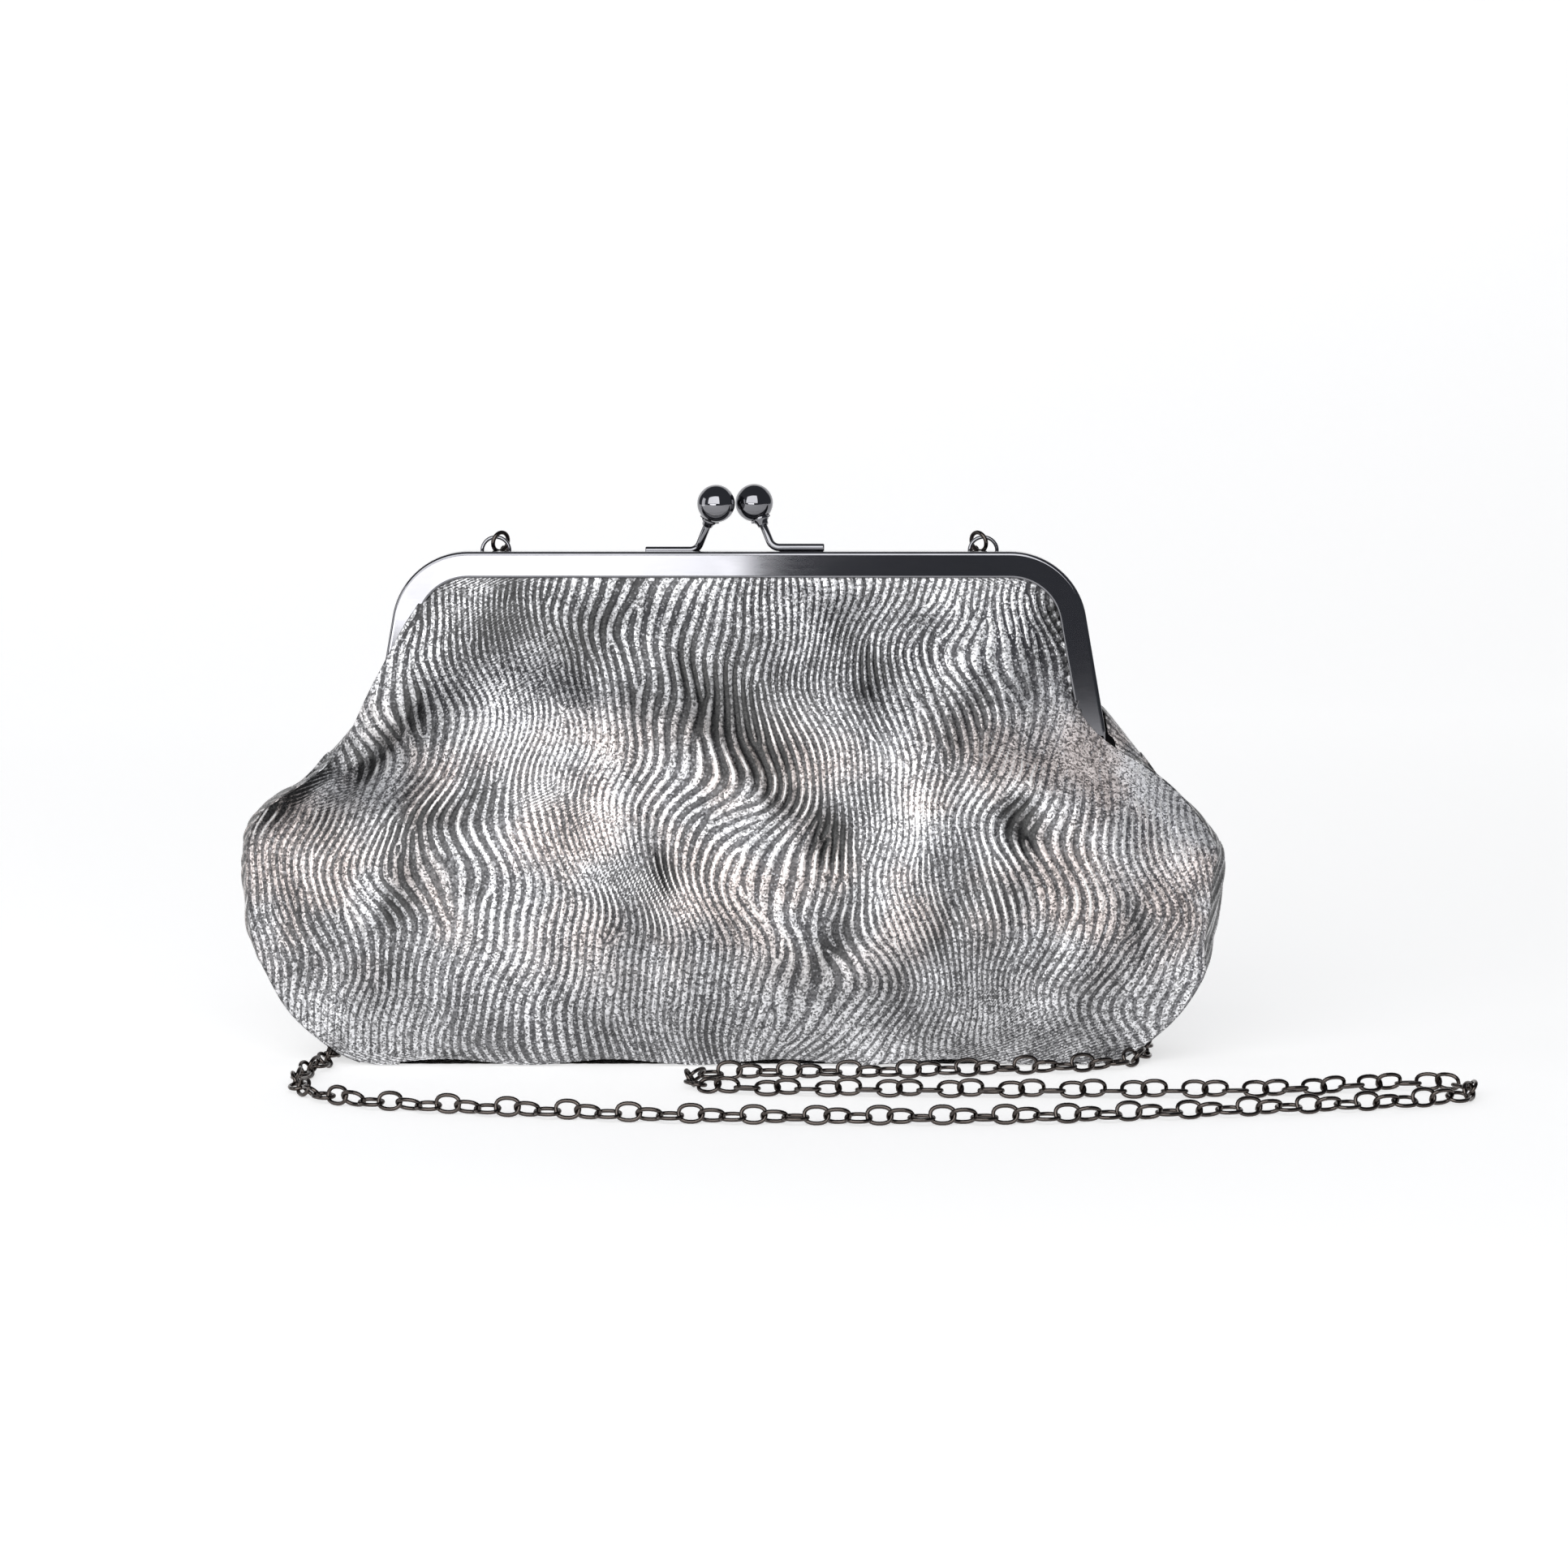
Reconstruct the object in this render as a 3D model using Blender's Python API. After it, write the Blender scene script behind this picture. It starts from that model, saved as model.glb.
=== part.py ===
"""Evening bag: a soft gusseted pouch hung in a two-part metal purse frame with a ball clasp and a chain strap.

Metres, +Z up, the front of the bag faces -Y and its width runs along X. The origin is the middle of the
flat base. The front half of the frame turns about an axis along X through the two rivets.
"""

import math

import bmesh
import bpy
import numpy as np
from mathutils import Matrix, Vector

# Purse frame, measured on its outer outline; n is the distance inwards from that outline.
FRAME_TOP = 0.1427
FRAME_HALF_WIDTH = 0.1028
CORNER_RADIUS = 0.0216
LEG_SLANT = math.radians(10.0)
LEG_KINK_Z = 0.0925
CHANNEL_END_Z = 0.0910
CORNER_STEPS = 6
SHEET = 0.0008
FACE_WIDTH = 0.0073
REAR_WALL_WIDTH = 0.0063
CHANNEL_NEAR = 0.00015
CHANNEL_FAR = 0.0053
EDGE_ROUND = 0.0007
BACK_INSET = 0.0012

# Hinge.
HINGE_Z = 0.0870
EAR_RADIUS = 0.0033
EAR_OVERLAP = 0.0012
EAR_SKIN = 0.00005
RIVET_HOLE = 0.00115
RIVET_SHAFT = 0.00095
RIVET_HEAD = 0.0020

# Ball clasp.
BALL_RADIUS = 0.00527
BALL_Z = 0.1560
BALL_X = {"front": 0.00412, "back": -0.00652}
BALL_PASS_Y = 0.0019
WIRE_RADIUS = 0.00105
FOOT_BEND_X = {"front": 0.0092, "back": -0.0119}
FOOT_LENGTH = 0.0143
FOOT_BEND_RADIUS = 0.0030
CHANNEL_MID = 0.0027
COLLAR_HEIGHT = 0.0017
TOUCH_GAP = 0.00005

# Strap fittings.
BAIL_X = 0.0686
BAIL_Y = 0.0043
BAIL_HALF_WIDTH = 0.00385
BAIL_LEG = 0.0009
BAIL_HEIGHT = 0.0038
BAIL_WIRE = 0.00042
RING_MAJOR = 0.0027
RING_WIRE = 0.00052
RING_HANG = 0.0014
RING_PLACE = math.radians(75.0)
RING_ALONG_WIRE = 0.70
RING_LEAN = (0.0, -0.60, 0.82)

# Pouch.
PANEL_THICKNESS = 0.0012
CHANNEL_DEPTH = 0.00425
WADDING_THICKNESS = 0.0015
LINING_THICKNESS = 0.0006
LAYER_GAP = 0.0003
SPLIT_Z = 0.0810
SPLIT_GAP = 0.0004
PANEL_TOP_N = {"front": 0.0013, "back": 0.0026}
INSIDE_RIVETS = 0.0983
FRAME_MARGIN = 0.0080
DOME_REACH = 0.055
DOME_REACH_IN_FRAME = 0.030
COLUMNS = 12
GUSSET_CROWN = 0.0018
SEAM_GAP = 0.0005
LINING_INSET = 0.0040
INNER_SHRINK = 0.0050
LINING_STRIP_NARROWER = 0.0032
PAPER_CORD_RADIUS = 0.0004
PAPER_CORD_N = 0.0035
PAPER_CORD_Y = 0.0016
BOARD_LENGTH = 0.176
BOARD_WIDTH = 0.032
BOARD_THICKNESS = 0.0016
BOARD_MID_Z = 0.0024
BOARD_EDGE = 0.0002

# Half-width of the pouch at heights above the base, and how far it stands out from the middle plane.
OUTLINE = [
    (0.0000, 0.0900), (0.0012, 0.0985), (0.0034, 0.1055), (0.0052, 0.1095), (0.0075, 0.1135),
    (0.0115, 0.1190), (0.0160, 0.1237), (0.0220, 0.1283), (0.0300, 0.1323), (0.0400, 0.1347),
    (0.0500, 0.1357), (0.0570, 0.1355), (0.0640, 0.1325), (0.0710, 0.1262), (0.0770, 0.1195),
    (0.0815, 0.1140),
]
SIDE_PROFILE = [
    (0.0012, 0.0222), (0.0050, 0.0252), (0.0120, 0.0292), (0.0250, 0.0320), (0.0420, 0.0330),
    (0.0600, 0.0312), (0.0800, 0.0265), (0.1000, 0.0190), (0.1180, 0.0110), (0.1300, 0.0058),
    (0.1338, CHANNEL_DEPTH), (0.1430, CHANNEL_DEPTH),
]
GUSSET_HALF = [
    (0.0000, 0.0200), (0.0135, 0.0195), (0.0320, 0.0185), (0.0540, 0.0160), (0.0640, 0.0135),
    (0.0730, 0.0090), (0.0800, 0.0035), (0.0830, 0.0030),
]
LOWER_ROWS = [SPLIT_Z, 0.0800, 0.0730, 0.0640, 0.0540, 0.0430, 0.0320, 0.0220, 0.0135, 0.0065, 0.0012]
EXTRA_SEAM_ROWS = [0.0685, 0.0590, 0.0485, 0.0270, 0.0180, 0.0100, 0.0034]
UPPER_ROWS = [0.1380, 0.1338, 0.1270, 0.1170, 0.1050, 0.0930, 0.0922]

# Chain strap: the middle of its links from the left ring, along the floor, to the right ring.
CHAIN_RADIUS = 0.0022
CHAIN_SAMPLES = 2
CHAIN_ROUTE = [
    (-0.0640, 0.0095, 0.1370), (-0.0660, 0.0170, 0.1110), (-0.0705, 0.0302, 0.0800),
    (-0.0745, 0.0378, 0.0500), (-0.0785, 0.0382, 0.0210), (-0.0835, 0.0396, 0.0080),
    (-0.0940, 0.0388, 0.0026), (-0.1060, 0.0322, 0.0023), (-0.1126, 0.0205, 0.0023),
    (-0.1142, 0.0020, 0.0023), (-0.1155, -0.0250, 0.0023), (-0.1205, -0.0500, 0.0023),
    (-0.1165, -0.0690, 0.0023), (-0.1000, -0.0845, 0.0023), (-0.0600, -0.0965, 0.0023),
    (-0.0100, -0.1055, 0.0023), (0.0700, -0.1070, 0.0023), (0.1400, -0.0945, 0.0023),
    (0.1860, -0.0820, 0.0023), (0.1975, -0.0720, 0.0023), (0.1935, -0.0605, 0.0023),
    (0.1780, -0.0590, 0.0023), (0.1400, -0.0690, 0.0023), (0.0700, -0.0695, 0.0023),
    (0.0050, -0.0660, 0.0023), (-0.0110, -0.0600, 0.0023), (-0.0125, -0.0500, 0.0023),
    (-0.0010, -0.0435, 0.0023), (0.0450, -0.0412, 0.0023), (0.1010, -0.0300, 0.0023),
    (0.1138, -0.0115, 0.0023), (0.1138, 0.0130, 0.0023), (0.1065, 0.0318, 0.0023),
    (0.0940, 0.0388, 0.0026), (0.0835, 0.0396, 0.0080), (0.0785, 0.0382, 0.0210),
    (0.0745, 0.0378, 0.0500), (0.0705, 0.0302, 0.0800), (0.0660, 0.0170, 0.1110),
    (0.0640, 0.0095, 0.1370),
]

SIDE_SIGN = {"front": -1.0, "back": 1.0}


def clear_scene():
    for thing in list(bpy.data.objects):
        bpy.data.objects.remove(thing, do_unlink=True)


def make_material(name, colour, roughness, metallic):
    material = bpy.data.materials.new(name)
    material.use_nodes = True
    shader = material.node_tree.nodes["Principled BSDF"]
    shader.inputs["Base Color"].default_value = (*colour, 1.0)
    shader.inputs["Roughness"].default_value = roughness
    shader.inputs["Metallic"].default_value = metallic
    return material


def add_to_scene(name, data, material, location=(0.0, 0.0, 0.0)):
    thing = bpy.data.objects.new(name, data)
    thing.location = location
    data.materials.append(material)
    bpy.context.collection.objects.link(thing)
    return thing


def mesh_object(name, bm, material, location=(0.0, 0.0, 0.0)):
    """Turn a bmesh made in world coordinates into an object whose origin is at location."""
    bmesh.ops.recalc_face_normals(bm, faces=bm.faces)
    bmesh.ops.translate(bm, verts=bm.verts, vec=-Vector(location))
    mesh = bpy.data.meshes.new(name)
    bm.to_mesh(mesh)
    bm.free()
    return add_to_scene(name, mesh, material, location)


def shade_round(thing, angle=40.0):
    thing.data.shade_smooth()
    thing.data.set_sharp_from_angle(angle=math.radians(angle))


def ease(value):
    t = min(max(value, 0.0), 1.0)
    return t * t * (3.0 - 2.0 * t)


def read_off(table, height):
    """Value at a height, read from a table of (height, value) pairs."""
    heights, values = zip(*table)
    return float(np.interp(height, heights, values))


def smooth_route(points, samples):
    """Catmull-Rom curve through the points, with a number of samples on each stretch."""
    knots = [Vector(p) for p in points]
    knots = [2 * knots[0] - knots[1], *knots, 2 * knots[-1] - knots[-2]]
    route = []
    for a, b, c, d in zip(knots, knots[1:], knots[2:], knots[3:]):
        for step in range(samples):
            t = step / samples
            square = (2 * a - 5 * b + 4 * c - d) * t**2
            cube = (3 * b - a - 3 * c + d) * t**3
            route.append(0.5 * (2 * b + (c - a) * t + square + cube))
    route.append(knots[-2])
    return route


def tube(name, points, radius, material, resolution=2):
    """Round wire along a line of points, with flat closed ends."""
    curve = bpy.data.curves.new(name, "CURVE")
    curve.dimensions = "3D"
    curve.bevel_depth = radius
    curve.bevel_resolution = resolution
    curve.use_fill_caps = True
    spline = curve.splines.new("POLY")
    spline.points.add(len(points) - 1)
    for point, place in zip(spline.points, points):
        point.co = (*place, 1.0)
    return add_to_scene(name, curve, material)


def turned(name, profile, axis, centre, material, steps=20):
    """Solid of revolution: profile holds (radius, height) pairs, turned about axis through centre."""
    spin = Vector((0, 0, 1)).rotation_difference(Vector(axis)).to_matrix().to_4x4()
    bm = bmesh.new()
    rings = []
    for radius, height in profile:
        if radius == 0.0:
            rings.append([bm.verts.new((0.0, 0.0, height))])
            continue
        angles = [2 * math.pi * i / steps for i in range(steps)]
        rings.append([bm.verts.new((radius * math.cos(a), radius * math.sin(a), height)) for a in angles])
    pairs = list(zip(rings, rings[1:]))
    if profile[0][0] > 0.0:
        pairs.append((rings[-1], rings[0]))
    for low, high in pairs:
        for i in range(steps):
            j = (i + 1) % steps
            corners = [low[i % len(low)], low[j % len(low)], high[j % len(high)], high[i % len(high)]]
            bm.faces.new(list(dict.fromkeys(corners)))
    bmesh.ops.transform(bm, matrix=Matrix.Translation(centre) @ spin, verts=bm.verts)
    thing = mesh_object(name, bm, material, centre)
    shade_round(thing)
    return thing


def frame_stations(leg_end):
    """Outer outline of the frame from the right leg's end over the top: (point, inward direction) in XZ."""
    along = Vector((-math.sin(LEG_SLANT), math.cos(LEG_SLANT)))
    inward = Vector((-math.cos(LEG_SLANT), -math.sin(LEG_SLANT)))
    kink = Vector((FRAME_HALF_WIDTH, LEG_KINK_Z))
    rise = FRAME_TOP - CORNER_RADIUS + CORNER_RADIUS * math.sin(LEG_SLANT) - LEG_KINK_Z
    centre = kink + along * (rise / math.cos(LEG_SLANT)) + inward * CORNER_RADIUS
    stations = [(kink, inward)]
    if leg_end < LEG_KINK_Z:
        between = Vector((-1.0, -math.tan(LEG_SLANT / 2)))
        stations = [(Vector((FRAME_HALF_WIDTH, leg_end)), Vector((-1.0, 0.0))), (kink, between)]
    for step in range(CORNER_STEPS + 1):
        angle = LEG_SLANT + (math.pi / 2 - LEG_SLANT) * step / CORNER_STEPS
        out = Vector((math.cos(angle), math.sin(angle)))
        stations.append((centre + out * CORNER_RADIUS, -out))
    mirrored = [(Vector((-p.x, p.y)), Vector((-n.x, n.y))) for p, n in reversed(stations)]
    return stations + mirrored, centre


def frame_edge(height, n):
    """Half-width of the frame's outline, n inside it, at a height."""
    _, centre = frame_stations(LEG_KINK_Z)
    if height > centre.y + (CORNER_RADIUS - n) * math.sin(LEG_SLANT):
        across = (CORNER_RADIUS - n) ** 2 - (height - centre.y) ** 2
        return centre.x + math.sqrt(max(across, 0.0))
    return FRAME_HALF_WIDTH - (height - LEG_KINK_Z) * math.tan(LEG_SLANT) - n / math.cos(LEG_SLANT)


def sweep(stations, profile):
    """Closed solid: a closed profile of (n, y) pairs carried along the stations, with end caps."""
    bm = bmesh.new()
    rings = []
    for point, inward in stations:
        places = [(point.x + inward.x * n, y, point.y + inward.y * n) for n, y in profile]
        rings.append([bm.verts.new(place) for place in places])
    count = len(profile)
    for ring, after in zip(rings, rings[1:]):
        for i in range(count):
            j = (i + 1) % count
            bm.faces.new((ring[i], ring[j], after[j], after[i]))
    bm.faces.new(rings[0])
    bm.faces.new(list(reversed(rings[-1])))
    return bm


def channel_profile(half):
    """Channel that opens inwards: the rounded outer edge, the web, the rear wall and the polished face."""
    sign = SIDE_SIGN[half]
    inset = BACK_INSET if half == "back" else 0.0
    turn = [math.pi / 2 * k / 4 for k in range(5)]
    outline = [
        (EDGE_ROUND * (1 - math.sin(a)), CHANNEL_FAR - EDGE_ROUND * (1 - math.cos(a))) for a in turn
    ]
    outline += [
        (0.0, CHANNEL_NEAR),
        (REAR_WALL_WIDTH, CHANNEL_NEAR),
        (REAR_WALL_WIDTH, CHANNEL_NEAR + SHEET),
        (SHEET, CHANNEL_NEAR + SHEET),
        (SHEET, CHANNEL_FAR - SHEET),
        (FACE_WIDTH, CHANNEL_FAR - SHEET),
        (FACE_WIDTH, CHANNEL_FAR),
    ]
    return [(n + inset, sign * t) for n, t in outline]


def ear_bm(half, side):
    """Ear at a leg's end: a strip down from the channel's web into a round plate about the hinge."""
    sign = SIDE_SIGN[half]
    inset = BACK_INSET if half == "back" else 0.0
    top = CHANNEL_END_Z - HINGE_Z + EAR_OVERLAP
    far = CHANNEL_FAR - EDGE_ROUND
    near_side = CHANNEL_NEAR + EAR_SKIN
    outline = [(far, EAR_RADIUS / 2), (far, top), (near_side, top), (near_side, EAR_RADIUS + EAR_SKIN)]
    turn = [math.radians(100 + 20 * k) for k in range(14)]
    outline += [(EAR_RADIUS * math.cos(a), EAR_RADIUS * math.sin(a)) for a in turn]
    inner = FRAME_HALF_WIDTH - inset - SHEET + EAR_SKIN
    outer = FRAME_HALF_WIDTH - inset - EAR_SKIN
    bm = bmesh.new()
    near, away = (
        [bm.verts.new((side * x, sign * t, HINGE_Z + z)) for t, z in outline] for x in (inner, outer)
    )
    for i in range(len(outline)):
        j = (i + 1) % len(outline)
        bm.faces.new((near[i], near[j], away[j], away[i]))
    bm.faces.new(near)
    bm.faces.new(list(reversed(away)))
    return bm


def combine(thing, bm, operation):
    """Join or cut a body with the closed shape in bm, and keep the result as the body's own mesh."""
    bmesh.ops.recalc_face_normals(bm, faces=bm.faces)
    bmesh.ops.translate(bm, verts=bm.verts, vec=-thing.location)
    tool_mesh = bpy.data.meshes.new("tool")
    bm.to_mesh(tool_mesh)
    bm.free()
    tool = bpy.data.objects.new("tool", tool_mesh)
    tool.location = thing.location
    bpy.context.collection.objects.link(tool)
    change = thing.modifiers.new(operation, "BOOLEAN")
    change.operation = operation
    change.object = tool
    bpy.context.view_layer.update()
    made = bpy.data.meshes.new_from_object(thing.evaluated_get(bpy.context.evaluated_depsgraph_get()))
    thing.modifiers.remove(change)
    thing.data = made
    bpy.data.objects.remove(tool, do_unlink=True)


def frame_half(half, material):
    """One half of the frame: the swept channel, its two ears and their rivet holes."""
    stations, _ = frame_stations(CHANNEL_END_Z)
    name = f"{half}_frame"
    body = mesh_object(name, sweep(stations, channel_profile(half)), material, (0.0, 0.0, HINGE_Z))
    for side in (1, -1):
        combine(body, ear_bm(half, side), "UNION")
        hole = bmesh.new()
        lying = Matrix.Rotation(math.pi / 2, 4, "Y")
        place = Matrix.Translation((side * FRAME_HALF_WIDTH, 0.0, HINGE_Z)) @ lying
        bmesh.ops.create_cone(
            hole, cap_ends=True, segments=16, radius1=RIVET_HOLE, radius2=RIVET_HOLE,
            depth=8 * SHEET, matrix=place,
        )
        combine(body, hole, "DIFFERENCE")
    shade_round(body, 30.0)
    return body


def hinge_rivet(name, side, material):
    """Rivet through both ears of one leg, headed on both sides."""
    inner = FRAME_HALF_WIDTH - BACK_INSET - SHEET - LAYER_GAP
    outer = FRAME_HALF_WIDTH + LAYER_GAP / 2
    profile = [
        (0.0, inner - 0.0012),
        (0.8 * RIVET_HEAD, inner - 0.0012),
        (RIVET_HEAD, inner - 0.0009),
        (RIVET_HEAD, inner),
        (RIVET_SHAFT, inner),
        (RIVET_SHAFT, outer),
        (1.1 * RIVET_HEAD, outer),
        (1.1 * RIVET_HEAD, outer + 0.0004),
        (0.6 * RIVET_HEAD, outer + 0.0009),
        (0.0, outer + 0.0010),
    ]
    return turned(name, profile, (side, 0.0, 0.0), (0.0, 0.0, HINGE_Z), material, 16)


def ball_centre(half):
    """The front half's ball sits just behind the back half's, so each holds the other shut."""
    return Vector((BALL_X[half], -SIDE_SIGN[half] * BALL_PASS_Y, BALL_Z))


def foot_height(half):
    inset = BACK_INSET if half == "back" else 0.0
    return FRAME_TOP - inset + WIRE_RADIUS + TOUCH_GAP


def post_bend(half):
    return Vector((FOOT_BEND_X[half], SIDE_SIGN[half] * CHANNEL_MID, foot_height(half)))


def bent_line(start, corner, end, radius, steps=6):
    """Straight, round bend, straight: the points of a wire that turns once at a corner."""
    back = (start - corner).normalized()
    ahead = (end - corner).normalized()
    half_angle = back.angle(ahead) / 2
    inward = (back + ahead).normalized()
    centre = corner + inward * (radius / math.sin(half_angle))
    first = corner + back * (radius / math.tan(half_angle))
    last = corner + ahead * (radius / math.tan(half_angle))
    spoke = first - centre
    axis = spoke.cross(last - centre)
    sweep_angle = spoke.angle(last - centre)
    bend = [
        centre + Matrix.Rotation(sweep_angle * k / steps, 3, axis) @ spoke for k in range(steps + 1)
    ]
    return [start, *bend, end]


def lock_post(half, material):
    """Bent wire: its foot lies along the top of the frame and its end goes up to the ball."""
    bend = post_bend(half)
    outward = 1.0 if half == "front" else -1.0
    start = bend + Vector((outward * FOOT_LENGTH, 0.0, 0.0))
    ball = ball_centre(half)
    end = ball + (bend - ball).normalized() * (BALL_RADIUS + TOUCH_GAP)
    return tube(f"{half}_lock_post", bent_line(start, bend, end, FOOT_BEND_RADIUS), WIRE_RADIUS, material, 3)


def lock_collar(half, material):
    """Small flared collar round the post, right under the ball."""
    bore = WIRE_RADIUS + 0.00013
    low = BALL_RADIUS + TOUCH_GAP
    high = low + COLLAR_HEIGHT
    profile = [
        (bore, low),
        (1.9 * WIRE_RADIUS, low),
        (1.8 * WIRE_RADIUS, low + 0.0006),
        (1.45 * WIRE_RADIUS, high),
        (bore, high),
    ]
    axis = post_bend(half) - ball_centre(half)
    return turned(f"{half}_lock_collar", profile, axis, ball_centre(half), material, 16)


def lock_ball(half, material):
    bm = bmesh.new()
    bmesh.ops.create_uvsphere(bm, u_segments=16, v_segments=10, radius=BALL_RADIUS)
    bmesh.ops.translate(bm, verts=bm.verts, vec=ball_centre(half))
    ball = mesh_object(f"{half}_lock_ball", bm, material, ball_centre(half))
    ball.data.shade_smooth()
    return ball


def bail_base():
    return FRAME_TOP - BACK_INSET + BAIL_LEG


def bail_point(side, angle):
    """Point on a bail's arch; the angle runs from its inner leg to its outer one."""
    x = BAIL_X - BAIL_HALF_WIDTH * math.cos(angle)
    return Vector((side * x, BAIL_Y, bail_base() + BAIL_HEIGHT * math.sin(angle)))


def bail(name, side, material):
    """Thin wire arch standing on the back half's top."""
    arch = [bail_point(side, math.pi * k / 10) for k in range(11)]
    drop = Vector((0.0, 0.0, TOUCH_GAP - BAIL_LEG))
    return tube(name, [arch[0] + drop, *arch, arch[-1] + drop], BAIL_WIRE, material)


def ring_axis(side):
    """Direction of the bail's wire where the ring hangs on it."""
    rise = BAIL_HEIGHT * math.cos(RING_PLACE)
    return Vector((BAIL_HALF_WIDTH * math.sin(RING_PLACE), 0.0, side * rise)).normalized()


def jump_ring(name, side, material):
    """Ring through the bail, leaning back over the edge of the frame."""
    wire = bail_point(side, RING_PLACE)
    facing = RING_ALONG_WIRE * side * ring_axis(side) + Vector((0.0, math.sqrt(1 - RING_ALONG_WIRE**2), 0.0))
    lean = Vector(RING_LEAN)
    lean = (lean - facing * lean.dot(facing)).normalized()
    turn = [2 * math.pi * k / 8 for k in range(8)]
    profile = [(RING_MAJOR + RING_WIRE * math.cos(a), RING_WIRE * math.sin(a)) for a in turn]
    return turned(name, profile, facing, wire - lean * RING_HANG, material, 18)


def gusset_half(height):
    return read_off(GUSSET_HALF, height)


def pouch_edge(height, n=None):
    """Half-width of a panel at a height: inside the frame's channel above the hinge, the pouch's below."""
    if height <= SPLIT_Z:
        return read_off(OUTLINE, height)
    if height < LEG_KINK_Z:
        return INSIDE_RIVETS
    return frame_edge(height, n)


def stand_out(x, height, edge):
    """How far the outer face of a panel stands from the middle plane."""
    in_frame = height > SPLIT_Z
    rim = CHANNEL_DEPTH if in_frame else gusset_half(height) + SEAM_GAP + PANEL_THICKNESS
    margin = FRAME_MARGIN if in_frame else 0.0
    reach = DOME_REACH_IN_FRAME if in_frame else DOME_REACH
    crown = read_off(SIDE_PROFILE, height)
    return rim + (crown - rim) * ease((edge - abs(x) - margin) / reach)


def panel(name, half, rows, shrink, offset, thickness, material):
    """Sheet of the pouch: a grid over the given heights, closed into a solid of even thickness along Y."""
    sign = SIDE_SIGN[half]
    bm = bmesh.new()
    skins = []
    for extra in (0.0, thickness):
        grid = []
        for height in rows:
            edge = pouch_edge(height, PANEL_TOP_N[half])
            inside = edge - FRAME_MARGIN
            across = [inside * (2 * column / (COLUMNS - 2) - 1) for column in range(COLUMNS - 1)]
            across = [-edge, *across, edge]
            places = [Vector((x, stand_out(x, height, edge))) for x in across]
            if height <= SPLIT_Z:
                share = shrink / FRAME_MARGIN
                places[0] = places[0].lerp(places[1], share)
                places[-1] = places[-1].lerp(places[-2], share)
            shift = offset(height) + extra
            grid.append([bm.verts.new((place.x, sign * (place.y - shift), height)) for place in places])
        skins.append(grid)
    last_row = len(rows) - 1
    for grid in skins:
        for r in range(last_row):
            for c in range(COLUMNS):
                bm.faces.new((grid[r][c], grid[r][c + 1], grid[r + 1][c + 1], grid[r + 1][c]))
    outer, inner = skins
    rim = [(0, c) for c in range(COLUMNS)] + [(r, COLUMNS) for r in range(last_row)]
    rim += [(last_row, c) for c in range(COLUMNS, 0, -1)] + [(r, 0) for r in range(last_row, 0, -1)]
    for (r, c), (s, d) in zip(rim, rim[1:] + rim[:1]):
        bm.faces.new((outer[r][c], outer[s][d], inner[s][d], inner[r][c]))
    thing = mesh_object(name, bm, material)
    shade_round(thing)
    return thing


def lining_offset(height):
    """The lining lies against the panel inside the frame and behind the wadding further down."""
    close = PANEL_THICKNESS + LAYER_GAP
    loose = close + WADDING_THICKNESS + LAYER_GAP
    return read_off([(0.078, loose), (LEG_KINK_Z, close)], height)


def seam_path(inset, top):
    """Middle line of the side and bottom strip, from the right side's top, under the base, to the left's."""
    heights = sorted({h for h in LOWER_ROWS + EXTRA_SEAM_ROWS if h <= top}, reverse=True)
    right = [Vector((read_off(OUTLINE, h), h)) for h in heights]
    base = [Vector((OUTLINE[0][1] * k / 3, 0.0)) for k in range(3, -4, -1)]
    left = [Vector((-p.x, p.y)) for p in reversed(right)]
    line = right + base + left
    path = []
    for i, point in enumerate(line):
        ahead = line[min(i + 1, len(line) - 1)]
        behind = line[max(i - 1, 0)]
        along = (ahead - behind).normalized()
        inward = Vector((along.y, -along.x))
        if point.y == 0.0:
            inward = Vector((0.0, 1.0))
        path.append((point + inward * inset, inward))
    return path


def side_strip(name, inset, narrower, thickness, crown, top, material):
    """Gusset: a strip round the sides and the base, crowned outwards above the floor."""
    bm = bmesh.new()
    rings = []
    across = [-1.0, -0.5, 0.0, 0.5, 1.0]
    for point, inward in seam_path(inset, top):
        half = gusset_half(point.y) - narrower
        bulge = crown * ease((point.y - inset) / 0.03)
        ring = []
        for depth in (0.0, thickness):
            order = across if depth == 0.0 else list(reversed(across))
            for share in order:
                shift = inward * (depth - bulge * (1 - share * share))
                ring.append(bm.verts.new((point.x + shift.x, share * half, point.y + shift.y)))
        rings.append(ring)
    count = 2 * len(across)
    for ring, after in zip(rings, rings[1:]):
        for i in range(count):
            j = (i + 1) % count
            bm.faces.new((ring[i], ring[j], after[j], after[i]))
    bm.faces.new(rings[0])
    bm.faces.new(list(reversed(rings[-1])))
    thing = mesh_object(name, bm, material)
    shade_round(thing)
    return thing


def base_board(material):
    """Stiff card between the base and its lining."""
    bm = bmesh.new()
    bmesh.ops.create_cube(bm, size=1.0)
    bmesh.ops.scale(bm, vec=(BOARD_LENGTH, BOARD_WIDTH, BOARD_THICKNESS), verts=bm.verts)
    bmesh.ops.translate(bm, vec=(0.0, 0.0, BOARD_MID_Z), verts=bm.verts)
    bmesh.ops.bevel(bm, geom=bm.edges[:], offset=BOARD_EDGE, segments=1, affect="EDGES")
    return mesh_object("base_board", bm, material)


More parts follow.
